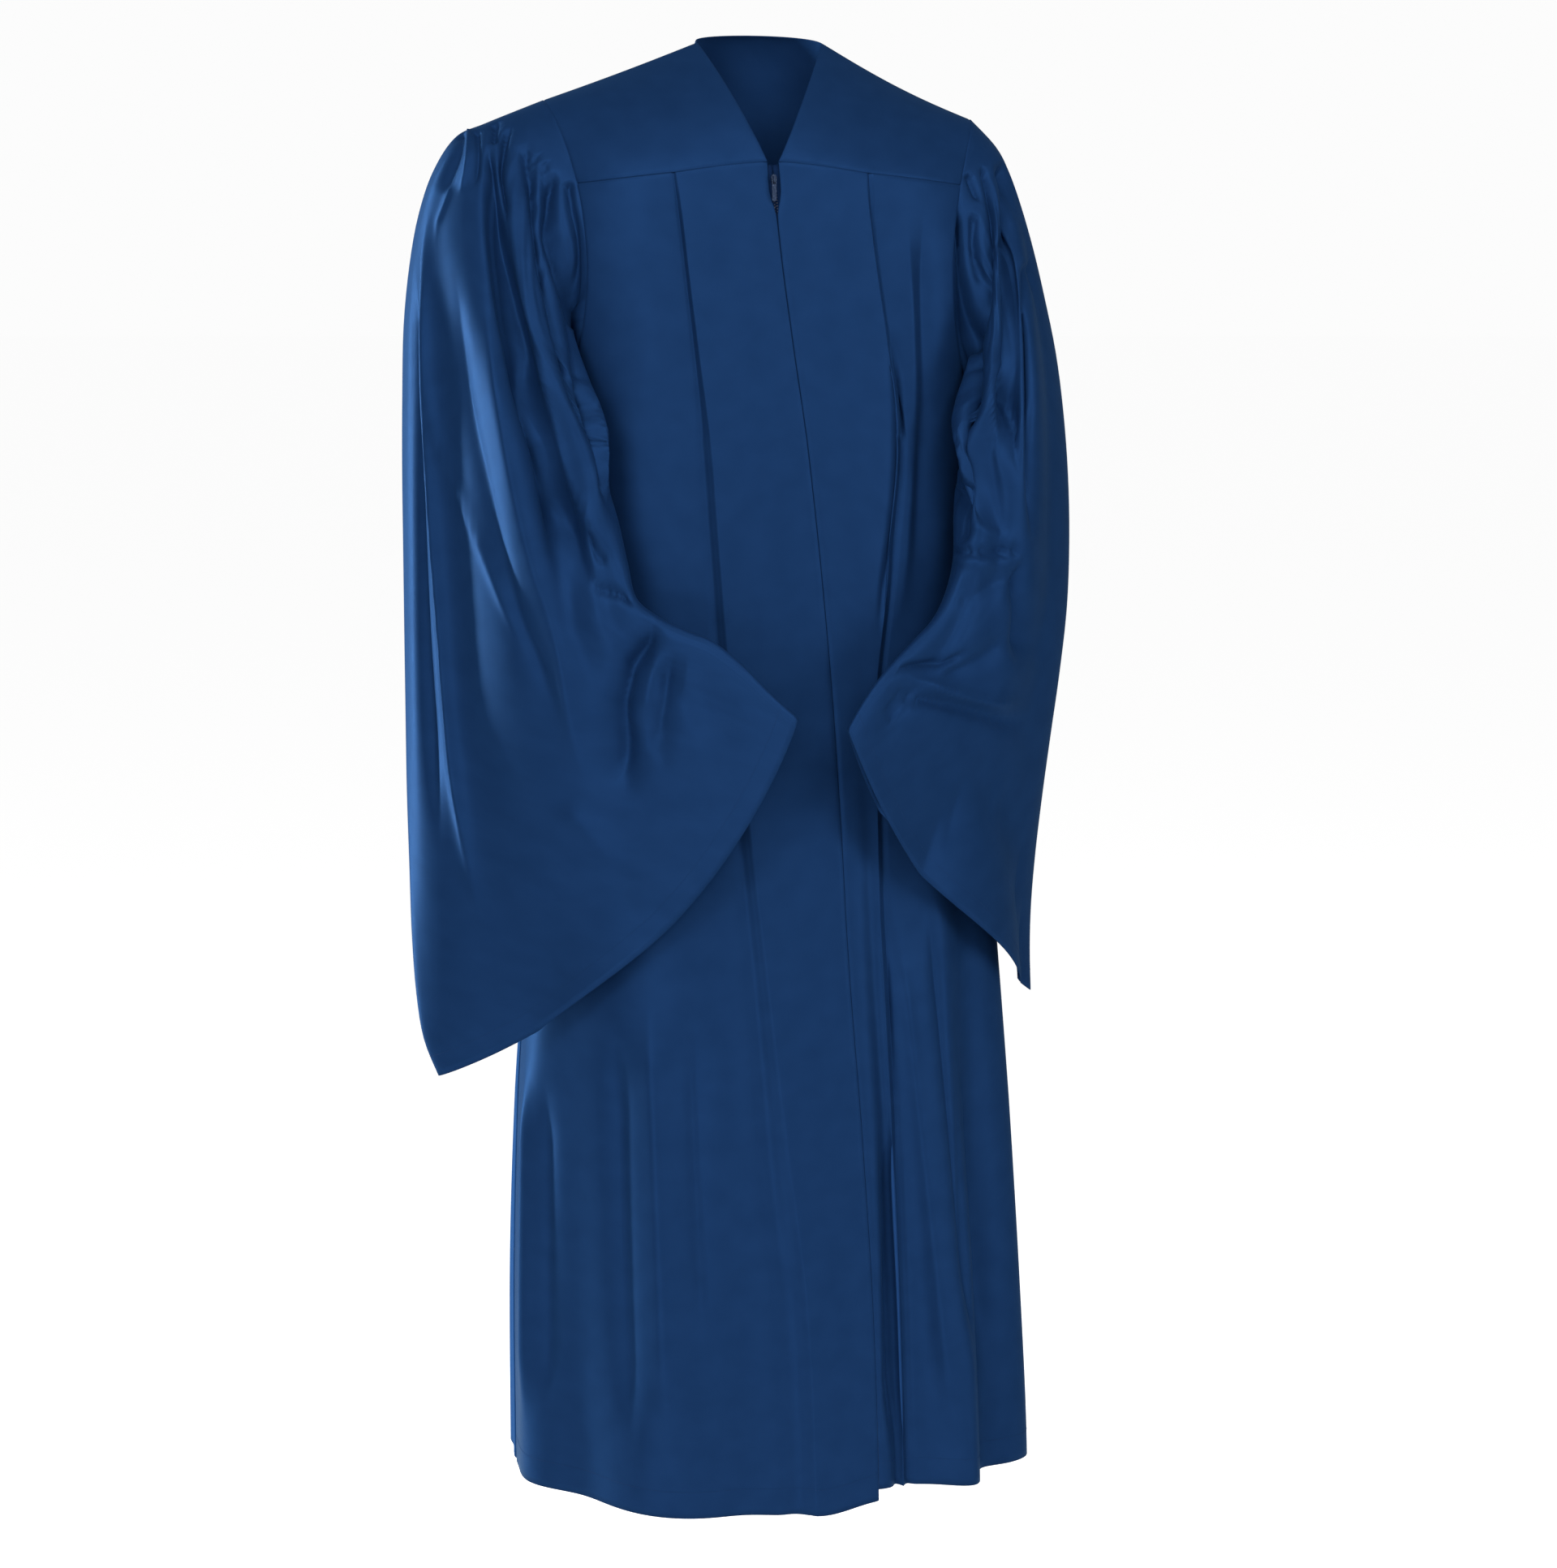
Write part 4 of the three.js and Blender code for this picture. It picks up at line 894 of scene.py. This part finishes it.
def ring_places():
    """Places round a sleeve: from the underarm over the front to the top line, and down the back."""
    spans = list(zip(FULLNESS[:-1, 0], FULLNESS[1:, 0]))
    front = [np.linspace(a, b, count, endpoint=False) for (a, b), count in zip(spans, COLUMNS["front"])]
    back = [np.linspace(b, a, count, endpoint=False) for (a, b), count in zip(spans, COLUMNS["back"])]
    places = np.concatenate([*front, *back[::-1]])
    return places, np.arange(len(places)) >= sum(COLUMNS["front"])


def ring_angles():
    place, is_back = ring_places()
    head, low, folds = [np.interp(place, FULLNESS[:, 0], FULLNESS[:, index]) for index in (1, 2, 3)]
    return np.where(is_back, 360 - head, head), np.where(is_back, 360 - low, low), folds


def clear_of_body(points, side, extra=0.0):
    """Pushes a sleeve's points out of the body, so that the sleeve lies beside it."""
    x, y, z = np.moveaxis(points, -1, 0)
    fallen = smooth((SLEEVE_ROOM["start"] - z) / SLEEVE_ROOM["span"])
    room = lerp(SLEEVE_ROOM["chest"], SLEEVE_ROOM["skirt"], fallen) + extra
    moved = points.copy()
    for is_back in (False, True):
        half, depth, shift, _ = section(side, z, is_back)
        far_x, far_y = np.abs(x - shift) / (half + room), np.abs(y) / (depth + room)
        inside = far_x**ROUNDNESS + far_y**ROUNDNESS
        edge = armhole_at(side, z, ARMHOLE["back"] if is_back else -ARMHOLE["front"])
        is_here = ((y > 0) == is_back) & (inside < 1)
        is_beside = is_here & (z > UNDERARM_Z) & (np.abs(y) < np.abs(edge[..., 1]))
        is_inside = is_here & ~is_beside
        scale = np.maximum(inside, 1e-6) ** (-1 / ROUNDNESS)
        moved[..., 0] = np.where(is_inside, shift + (x - shift) * scale, moved[..., 0])
        moved[..., 1] = np.where(is_inside, y * scale, moved[..., 1])
        kept = SIDE[side] * np.maximum(np.abs(x), np.abs(edge[..., 0]) + SLEEVE_ROOM["beside"] + extra)
        moved[..., 0] = np.where(is_beside, kept, moved[..., 0])
    return moved


def front_apart(ring):
    """How much more room the front half of a sleeve keeps to the body than its back half."""
    _, low, _ = ring_angles()
    grown = smooth((np.asarray(ring, float)[..., None] - APART["first"]) / APART["grown"])
    return APART["room"] * grown * np.clip(np.sin(np.radians(low)), 0, 1)


def evened(points, pushed):
    """The pushed points, evened out with their neighbours where they were pushed."""
    def both_sides(grid):
        return np.roll(grid, 1, axis=1), np.roll(grid, -1, axis=1)

    share = smooth(np.linalg.norm(pushed - points, axis=-1, keepdims=True) / EVENED["full"])
    for _ in range(EVENED["wider"]):
        share = np.maximum(share, EVENED["fall"] * np.maximum(*both_sides(share)))
    result = pushed.copy()
    for _ in range(EVENED["passes"]):
        mean = (sum(both_sides(result))[1:-1] + result[:-2] + result[2:]) / 4
        result[1:-1] = lerp(result[1:-1], mean, EVENED["share"] * share[1:-1])
    return result


def armhole_loop(side):
    head, _, _ = ring_angles()
    turn = np.radians(head)
    is_front = turn <= math.pi
    depth = np.where(is_front, -ARMHOLE["front"], ARMHOLE["back"])
    return armhole_point(side, np.where(is_front, turn, 2 * math.pi - turn), depth)


def sleeve_ring(side, index):
    """One ring of the table as a loop of points."""
    head, low, _ = ring_angles()
    ring = RINGS[side][index]
    p, q = ring[0:3], ring[3:6]
    front_depth, back_depth, belly = ring[6:9]
    front = np.array([0, -1.0, 0])
    half = np.linalg.norm(q - p) / 2
    reach = (q - p) / (2 * half)
    across = np.cross(front, reach) * -SIDE[side]
    across /= np.linalg.norm(across)
    hung = smooth((index + 1) / (HANGING_RING + 1))
    turn = np.radians(lerp(head, low, hung))
    lift = np.zeros(turn.shape)
    for place, width, start, end, fold_depth in SLEEVE_FOLDS[side]:
        span = (index - start) / (end - start)
        if 0 < span < 1:
            lift += fold_depth * math.sin(math.pi * span) ** FOLD_ENDS * bump(low - place, width)
    deep = np.sin(turn) * np.where(turn <= math.pi, front_depth, back_depth)
    points = (p + q) / 2 - np.cos(turn)[:, None] * (half + lift)[:, None] * reach
    points = points + (deep + np.sin(turn) * lift)[:, None] * front
    points = points + (belly * np.sin(turn) ** 2)[:, None] * across
    grown = math.sin(math.pi * min(1, (index + 1) / TUCK["rings"]))
    tucked = np.where(turn < math.pi / 2, np.sin(2 * turn) ** 2 * grown, 0)
    points[:, 0] -= SIDE[side] * TUCK["depth"] * tucked
    return clear_of_body(points, side, front_apart(index))


def sleeve_grid(side):
    """The grid of a sleeve, and how many rings down each of its rows lies."""
    armhole = armhole_loop(side)
    loops = np.array([armhole + [SIDE[side] * ARMHOLE_EASE, 0, 0],
                      *(sleeve_ring(side, index) for index in range(len(RINGS[side])))])
    last = len(loops) - 1
    down = np.concatenate([ring + np.arange(count) / count for ring, count in enumerate(ROWS)] + [[last]])
    row = np.minimum(down.astype(int), last - 1)
    near = [loops[np.clip(row + step, 0, last)] for step in (-1, 0, 1, 2)]
    return curve_through(*near, (down - row)[:, None, None]), down, armhole


def gather_lift(down):
    """Gathers of the sleeve head: none in the seam, full just below it, gone at the elbow."""
    _, is_back = ring_places()
    _, low, folds = ring_angles()
    more, pace, phase = UNLIKE["depth"]
    uneven = (1 + more * np.sin(pace * folds + phase)) * np.where(is_back, GATHER["back"], GATHER["front"])
    less, pace, phase = UNLIKE["length"]
    reach = GATHER_RINGS["last"] * (1 - less * np.sin(pace * folds + phase) ** 2)
    from_underarm = 180 - np.abs(180 - low)
    later = smooth((from_underarm - GATHER_LATER["from"]) / GATHER_LATER["over"])
    start = GATHER_RINGS["first"] + GATHER_RINGS["later"] * later - GATHER_RINGS["early"]
    t, full = down[:, None], GATHER_RINGS["full"]
    grown = smooth((t - start) / GATHER_RINGS["over"]) * (1 - smooth((t - full) / (reach - full)))
    return -uneven * grown * np.sin(math.pi * folds) ** 2


def turned_in(armhole, side):
    """The row of cloth that is turned in behind the armhole's seam."""
    middle = armhole.mean(axis=0)
    return middle + (armhole - middle) * ALLOWANCE["scale"] - [SIDE[side] * ALLOWANCE["under"], 0, 0]


for side in SIDE:
    name = "sleeve_" + side
    points, down, armhole = sleeve_grid(side)
    inside = np.broadcast_to(points.mean(axis=1, keepdims=True), points.shape)
    normals = grid_normals(points, inside, True)
    points = points + normals * gather_lift(down)[..., None]
    points = crease(points, normals, name)
    room = front_apart(down - 1) + PRESSED
    points[2:] = evened(points[2:], clear_of_body(points[2:], side, room[2:]))
    GRIDS[name] = points
    points = np.concatenate([turned_in(armhole, side)[None], points])
    inside = np.broadcast_to(points.mean(axis=1, keepdims=True), points.shape)
    pieces[name] = shell("cloth_" + name, points, inside, True)

for name, piece in pieces.items():
    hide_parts(name)
print(len(pieces), "sewn pieces in all")


# %% [markdown]
# ## Zip
# A coil zip is two woven tapes with a tooth row on each. Only its dark line shows between the fronts,
# and a little more of it in the short slit round the slider. The tapes are shells behind the fronts,
# and the teeth are set along a line by Geometry Nodes, every other one to the other side.

# %% Zip tapes
def front_line(side, away, z, lift):
    """Points at one distance from the zip's middle, along the heights z."""
    return front_point(side, away / body(side, z), z, lift)


TAPE = {"edge": 0.2, "rows": 160, "columns": 9}
heights = np.linspace(ZIP["top_z"], ZIP["foot_z"], TAPE["rows"])
for side in SIDE:
    offsets = np.linspace(TAPE["edge"], ZIP["half"], TAPE["columns"])[None, :]
    points = front_line(side, offsets, heights[:, None], -ZIP["behind"])
    name = "zip_tape_" + side
    pieces[name] = shell(name, points, body_inside(points))
    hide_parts("zip")


# %% [markdown]
# ## Rows of small things
# Stitches and teeth repeat along a line, so one small mesh is set at even steps. The line comes in as
# a mesh of edges, is resampled to the pitch, and carries instances that are made real at the end. An
# Array modifier on a curve would do it as well, but it stretches the last ones.

# %% A node tree that sets pieces along a line
ROW_SIZES = ("Pitch", "Length", "Radius", "Swing", "Width")
ROW_NODES = {
    "given": "NodeGroupInput",
    "out": "NodeGroupOutput",
    "curve": "GeometryNodeMeshToCurve",
    "even": "GeometryNodeResampleCurve",
    "rod": "GeometryNodeMeshCylinder",
    "tangent": "GeometryNodeInputTangent",
    "turn": "FunctionNodeAlignRotationToVector",
    "size": "ShaderNodeCombineXYZ",
    "place": "GeometryNodeInstanceOnPoints",
    "index": "GeometryNodeInputIndex",
    "parity": "ShaderNodeMath",
    "sign": "ShaderNodeMath",
    "swing": "ShaderNodeMath",
    "shift": "ShaderNodeCombineXYZ",
    "move": "GeometryNodeTranslateInstances",
    "real": "GeometryNodeRealizeInstances",
    "shade": "GeometryNodeSetMaterial",
}
ROW_LINKS = [
    ("given", "Geometry", "curve", "Mesh"),
    ("curve", "Curve", "even", "Curve"),
    ("given", "Pitch", "even", "Length"),
    ("given", "Radius", "rod", "Radius"),
    ("given", "Length", "rod", "Depth"),
    ("tangent", "Tangent", "turn", "Vector"),
    ("given", "Width", "size", "X"),
    ("even", "Curve", "place", "Points"),
    ("rod", "Mesh", "place", "Instance"),
    ("turn", "Rotation", "place", "Rotation"),
    ("size", "Vector", "place", "Scale"),
    ("index", "Index", "parity", 0),
    ("parity", "Value", "sign", 0),
    ("sign", "Value", "swing", 0),
    ("given", "Swing", "swing", 1),
    ("swing", "Value", "shift", "X"),
    ("place", "Instances", "move", "Instances"),
    ("shift", "Vector", "move", "Translation"),
    ("move", "Instances", "real", "Geometry"),
    ("real", "Geometry", "shade", "Geometry"),
    ("given", "Material", "shade", "Material"),
    ("shade", "Geometry", "out", "Geometry"),
]


def add_nodes(tree, kinds):
    return {label: tree.nodes.new(kind) for label, kind in kinds.items()}


def join(tree, nodes, links):
    """Links nodes: each link names a node and its output, then a node and its input."""
    for start, output, end, entry in links:
        tree.links.new(nodes[start].outputs[output], nodes[end].inputs[entry])


def set_inputs(node, values):
    for label, value in values.items():
        node.inputs[label].default_value = value


def row_tree():
    """Sets a block or a stitch at every step along a line, swung to alternate sides."""
    tree = bpy.data.node_groups.new("row_along_line", "GeometryNodeTree")
    kinds = {"Geometry": "Geometry", **{label: "Float" for label in ROW_SIZES}, "Material": "Material"}
    for label, kind in kinds.items():
        tree.interface.new_socket(label, in_out="INPUT", socket_type="NodeSocket" + kind)
    tree.interface.new_socket("Geometry", in_out="OUTPUT", socket_type="NodeSocketGeometry")
    node = add_nodes(tree, ROW_NODES)
    node["even"].mode = "LENGTH"
    node["turn"].axis = "Z"
    set_inputs(node["rod"], {"Vertices": 6})
    set_inputs(node["size"], {"Y": 1, "Z": 1})
    node["parity"].operation = "MODULO"
    set_inputs(node["parity"], {1: 2})
    node["sign"].operation = "MULTIPLY_ADD"
    set_inputs(node["sign"], {1: 2, 2: -1})
    node["swing"].operation = "MULTIPLY"
    join(tree, node, ROW_LINKS)
    return tree


ROW_TREE = row_tree()
SOCKETS = {item.name: item.identifier for item in ROW_TREE.interface.items_tree if item.in_out == "INPUT"}


def row_along(name, lines, material, **sizes):
    """Sets small pieces along lines of points in millimetres. Sizes are in millimetres too."""
    mesh = bpy.data.meshes.new(name)
    points, edges = [], []
    for line in lines:
        start = len(points)
        points += (line * MM).tolist()
        edges += [(start + step, start + step + 1) for step in range(len(line) - 1)]
    mesh.from_pydata(points, edges, [])
    row = add_object(name, mesh)
    modifier = row.modifiers.new("row", "NODES")
    for label, size in sizes.items():
        modifier[SOCKETS[label]] = float(size if label == "Width" else size * MM)
    modifier[SOCKETS["Material"]] = material
    modifier.node_group = ROW_TREE
    bpy.context.view_layer.update()
    made = bpy.data.meshes.new_from_object(row.evaluated_get(bpy.context.evaluated_depsgraph_get()))
    row.modifiers.clear()
    row.data = made
    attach(row, "root")
    print(name, len(made.polygons), "faces")
    return row


# %% [markdown]
# ## Cloth
# The gown is a plain polyester with a fine twill and a quiet blue sheen. The colour varies a little
# over the cloth, the weave gives it a grain close up, and slight ripples keep the light from lying
# flat. The shared part is a node group, and the shader itself stays in each material.

# %% Weave and ripple, shared by all cloth
WEAVE_SOCKETS = [
    ("UV", "INPUT", "NodeSocketVector"),
    ("Pitch", "INPUT", "NodeSocketFloat"),
    ("Height", "OUTPUT", "NodeSocketFloat"),
    ("Blotch", "OUTPUT", "NodeSocketFloat"),
    ("Ripple", "OUTPUT", "NodeSocketFloat"),
]
WEAVE_NODES = {
    "given": "NodeGroupInput",
    "out": "NodeGroupOutput",
    "scaled": "ShaderNodeVectorMath",
    "split": "ShaderNodeSeparateXYZ",
    "diagonal": "ShaderNodeMath",
    "ribs": "ShaderNodeMath",
    "threads": "ShaderNodeMath",
    "height": "ShaderNodeMath",
    "blotch": "ShaderNodeTexNoise",
    "ripple": "ShaderNodeTexNoise",
}
WEAVE_LINKS = [
    ("given", "UV", "scaled", 0),
    ("given", "Pitch", "scaled", "Scale"),
    ("scaled", 0, "split", 0),
    ("split", "X", "diagonal", 0),
    ("split", "Y", "diagonal", 1),
    ("diagonal", 0, "ribs", 0),
    ("split", "Y", "threads", 0),
    ("threads", 0, "height", 0),
    ("ribs", 0, "height", 2),
    ("height", 0, "out", "Height"),
    ("given", "UV", "blotch", "Vector"),
    ("blotch", "Fac", "out", "Blotch"),
    ("given", "UV", "ripple", "Vector"),
    ("ripple", "Fac", "out", "Ripple"),
]
THREADS_ACROSS = 0.35  # how high they stand beside the ribs


def weave_group():
    """A twill weave: diagonal ribs with threads across, and a soft unevenness of the cloth."""
    group = bpy.data.node_groups.new("twill_weave", "ShaderNodeTree")
    for label, way, kind in WEAVE_SOCKETS:
        group.interface.new_socket(label, in_out=way, socket_type=kind)
    node = add_nodes(group, WEAVE_NODES)
    node["scaled"].operation = "SCALE"
    node["diagonal"].operation = "ADD"
    node["ribs"].operation = "SINE"
    node["threads"].operation = "SINE"
    node["height"].operation = "MULTIPLY_ADD"
    set_inputs(node["height"], {1: THREADS_ACROSS})
    set_inputs(node["blotch"], {"Scale": 42, "Detail": 5})
    set_inputs(node["ripple"], {"Scale": 16, "Detail": 2})
    join(group, node, WEAVE_LINKS)
    return group


WEAVE = weave_group()
print("weave group with", len(WEAVE.nodes), "nodes")

# %% [markdown]
# ## Materials
# Cloth and tape share the weave, at the same scale, and the thread is plain. Polyester reflects in its
# own blue, so the tint of both its gloss and its sheen is blue. The cloth's reverse, which shows inside
# the neck and the cuffs, is duller than its face, and painted paler: painted light that lifts the shade
# there.

# %% Cloth materials
BLUE_GLOSS = (0.22, 0.66, 1.0, 1)
POLYESTER = {
    "IOR": 1.5,
    "Metallic": 0.3,
    "Specular IOR Level": 0.02,
    "Specular Tint": BLUE_GLOSS,
    "Sheen Weight": 0.02,
    "Sheen Roughness": 0.4,
    "Sheen Tint": BLUE_GLOSS,
}
WEAVE_PITCH = 0.0006
RIPPLE_STRENGTH = 0.35
WEAVE_BUMP = {"Strength": 0.1, "Distance": 0.0001}


def plain_material(name, colour, roughness, metallic=0.0):
    material = bpy.data.materials.new(name)
    material.use_nodes = True
    shader = material.node_tree.nodes["Principled BSDF"]
    set_inputs(shader, {"Base Color": (*colour, 1), "Roughness": roughness, "Metallic": metallic})
    return material, shader


def cloth_material(name, dark, light, roughness, ripple=0.0012):
    material, shader = plain_material(name, dark, roughness)
    tree = material.node_tree
    node = add_nodes(tree, {"uv": "ShaderNodeUVMap", "weave": "ShaderNodeGroup", "tint": "ShaderNodeMix",
                            "rippled": "ShaderNodeBump", "woven": "ShaderNodeBump"})
    node["shader"] = shader
    node["uv"].uv_map = "cloth"
    node["weave"].node_tree = WEAVE
    node["tint"].data_type = "RGBA"
    set_inputs(node["weave"], {"Pitch": 2 * math.pi / WEAVE_PITCH})
    set_inputs(node["tint"], {"A": (*dark, 1), "B": (*light, 1)})
    set_inputs(node["rippled"], {"Strength": RIPPLE_STRENGTH, "Distance": ripple})
    set_inputs(node["woven"], WEAVE_BUMP)
    set_inputs(shader, POLYESTER)
    join(tree, node, [
        ("uv", "UV", "weave", "UV"),
        ("weave", "Blotch", "tint", "Factor"),
        ("tint", "Result", "shader", "Base Color"),
        ("weave", "Ripple", "rippled", "Height"),
        ("weave", "Height", "woven", "Height"),
        ("rippled", "Normal", "woven", "Normal"),
        ("woven", "Normal", "shader", "Normal"),
    ])
    return material


navy = cloth_material("navy_cloth", (0.0078, 0.0310, 0.100), (0.0118, 0.0430, 0.134), 0.46)
# The reverse's paler colour is painted light that lifts the shade inside the neck and cuffs; its higher
# roughness is the reverse's own dullness.
reverse_lit_paler = cloth_material("navy_cloth_reverse_lit_paler", (0.0140, 0.0550, 0.175), (0.0190, 0.0680, 0.210), 0.7)
tape_cloth = cloth_material("zip_tape_cloth", (0.0045, 0.0150, 0.052), (0.0065, 0.0210, 0.070), 0.6,
                            ripple=0.0002)
thread, shader = plain_material("navy_thread", (0.0095, 0.0370, 0.118), 0.7)
set_inputs(shader, {"Specular IOR Level": 0.08})
teeth, _ = plain_material("moulded_teeth", (0.0040, 0.0120, 0.040), 0.35)
for name, piece in pieces.items():
    is_tape = name.startswith("zip")
    for side_of_cloth in (tape_cloth, tape_cloth) if is_tape else (navy, reverse_lit_paler):
        piece.data.materials.append(side_of_cloth)
print("cloth on", len(pieces), "pieces")

# %% [markdown]
# The slider and its tab are die-cast metal, lacquered in a blue-grey near the cloth's colour and worn
# in small spots to a paler metal. The wear follows a fine noise, so that no spot repeats.

# %% Lacquered metal of the slider and its tab
LACQUER = (0.012, 0.028, 0.070)
BARE_METAL = (0.10, 0.15, 0.24)
lacquer, shader = plain_material("blue_grey_lacquer", LACQUER, 0.28, 0.5)
node = add_nodes(lacquer.node_tree, {"place": "ShaderNodeTexCoord", "scratches": "ShaderNodeTexNoise",
                                     "worn": "ShaderNodeMapRange", "paint": "ShaderNodeMix"})
node["shader"] = shader
node["paint"].data_type = "RGBA"
set_inputs(node["scratches"], {"Scale": 900, "Detail": 6})
set_inputs(node["worn"], {"From Min": 0.56, "From Max": 0.70})
set_inputs(node["paint"], {"A": (*LACQUER, 1), "B": (*BARE_METAL, 1)})
join(lacquer.node_tree, node, [
    ("place", "Object", "scratches", "Vector"),
    ("scratches", "Fac", "worn", "Value"),
    ("worn", "Result", "paint", "Factor"),
    ("paint", "Result", "shader", "Base Color"),
])
for name in ("zip_slider", "zip_pull_tab"):
    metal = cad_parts[name]
    metal.data.materials.clear()
    metal.data.materials.append(lacquer)
print("lacquer on the slider and its tab")

# %% [markdown]
# ## Teeth and stitches
# The teeth sit between the tapes and the fronts, along the line where the two tapes meet.

# %% Teeth
CHAIN = {"top_z": -139, "over_foot": 4, "points": 400, "lift": -1.95}
TOOTH = {"Pitch": 1.3, "Length": 0.9, "Radius": 0.6, "Swing": 0.65, "Width": 1.8}
heights = np.linspace(ZIP["foot_z"] + CHAIN["over_foot"], CHAIN["top_z"], CHAIN["points"])
chain_line = sum(front_line(side, 0.0, heights, CHAIN["lift"]) for side in SIDE) / 2
chain = row_along("zip_teeth", [chain_line], teeth, **TOOTH)
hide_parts("zip")

# %% [markdown]
# The hem and the cuffs are turned up and stitched once round. A real hem's stitches are about 3 mm
# long, in thread of the cloth's colour. Each line is found on the finished shell, so that it follows
# the folds.

# %% Stitches
STITCH = {"Pitch": 3.4, "Length": 2.5, "Radius": 0.19, "Swing": 0, "Width": 1.0}
STITCH_LIFT = 0.06
HEM_DEPTH = 25
HEM_ENDS = 2  # the mesh columns at a panel's two edges that its hem stitches leave free
CUFF_DEPTH = 20


def line_up(points, distance):
    """The points of a grid at one distance up from its last row, column by column."""
    up = run(points[::-1], 0)
    return np.array([[np.interp(distance, up[:, column], points[::-1, column, axis]) for axis in range(3)]
                     for column in range(points.shape[1])])


def on_cloth(points, inside):
    """Lifts a line of stitches so that the thread lies half in the cloth."""
    out = points - inside
    out[:, 2] = 0
    return points + out / np.linalg.norm(out, axis=-1, keepdims=True) * STITCH_LIFT


stitches = {}
for name in ("front_right", "front_left", "back"):
    line = line_up(GRIDS[name], HEM_DEPTH)[HEM_ENDS:-HEM_ENDS]
    stitches[name] = [on_cloth(line, body_inside(line))]
for side in SIDE:
    line = line_up(GRIDS["sleeve_" + side], CUFF_DEPTH)
    line = np.concatenate([line, line[:1]])
    stitches["sleeve_" + side] = [on_cloth(line, line.mean(axis=0))]
for name, lines in stitches.items():
    row = row_along("stitches_" + name, lines, thread, **STITCH)
    stitches[name] = row

# %% [markdown]

# %% [markdown]
# ## Studio
# A soft key light from the front left and a fill from the front right, with weaker ones far right,
# above and low down. A tall narrow light behind on the left draws the bright edges of the gathers.
# Floor and backdrop are one near-white to the camera, and dimmer to the cloth, so that they don't
# wash out its folds.

# %% Lights, floor and backdrop
def area_light(name, place, aim, size, watts):
    data = bpy.data.lights.new(name, "AREA")
    data.shape = "RECTANGLE"
    data.size, data.size_y = size
    data.energy = watts
    light = add_object(name, data)
    light.location = place
    light.rotation_euler = (Vector(aim) - Vector(place)).to_track_quat("-Z", "Y").to_euler()


LIGHTS = {  # place, aim and size in metres, and watts
    "key": ((-1.9, -3.2, 1.3), (0, 0, -0.6), (1.4, 1.8), 54),
    "fill": ((0.9, -3.6, 1.6), (0, 0, -0.5), (1.4, 1.4), 43),
    "right": ((2.9, -2.4, -0.2), (0, 0, -0.7), (1.2, 1.8), 30),
    "top": ((0, -1.5, 2.6), (0, 0, -0.3), (1.4, 1.4), 16),
    "low": ((-1.7, -3.2, -1.4), (0, 0, -0.9), (1.2, 1.0), 18),
    "rim": ((-1.85, 1.25, -0.3), (-0.2, 0, -0.6), (0.14, 2.4), 80),
}
for name, values in LIGHTS.items():
    area_light(name, *values)


def camera_only(tree, socket, other, seen):
    """Gives a socket one value for the camera's own rays and another for all the rest."""
    ray = tree.nodes.new("ShaderNodeLightPath")
    choice = tree.nodes.new("ShaderNodeMix")
    set_inputs(choice, {"A": other, "B": seen})
    tree.links.new(ray.outputs["Is Camera Ray"], choice.inputs["Factor"])
    tree.links.new(choice.outputs["Result"], socket)


WHITE = (1, 1, 1, 1)
world = bpy.data.worlds.new("studio")
bpy.context.scene.world = world
world.use_nodes = True
background = world.node_tree.nodes["Background"]
set_inputs(background, {"Color": WHITE})
camera_only(world.node_tree, background.inputs["Strength"], other=0.22, seen=0.973)

FLOOR_Z = -1.75
FLOOR_REACH = 150
FLOOR_CORNERS = 64
corners = [(math.cos(turn) * FLOOR_REACH, math.sin(turn) * FLOOR_REACH, FLOOR_Z)
           for turn in np.linspace(0, 2 * math.pi, FLOOR_CORNERS, endpoint=False)]
floor_mesh = bpy.data.meshes.new("floor")
floor_mesh.from_pydata(corners, [], [tuple(range(len(corners)))])
floor = add_object("floor", floor_mesh)
pale, shader = plain_material("pale_floor", (0.9, 0.9, 0.9), 0.9)
set_inputs(shader, {"Specular IOR Level": 0, "Emission Color": WHITE})
camera_only(pale.node_tree, shader.inputs["Emission Strength"], other=0.0, seen=0.77)
floor_mesh.materials.append(pale)

scene = bpy.context.scene
scene.view_settings.view_transform = "Standard"
scene.view_settings.look = "None"
print("lights, floor and world are set")
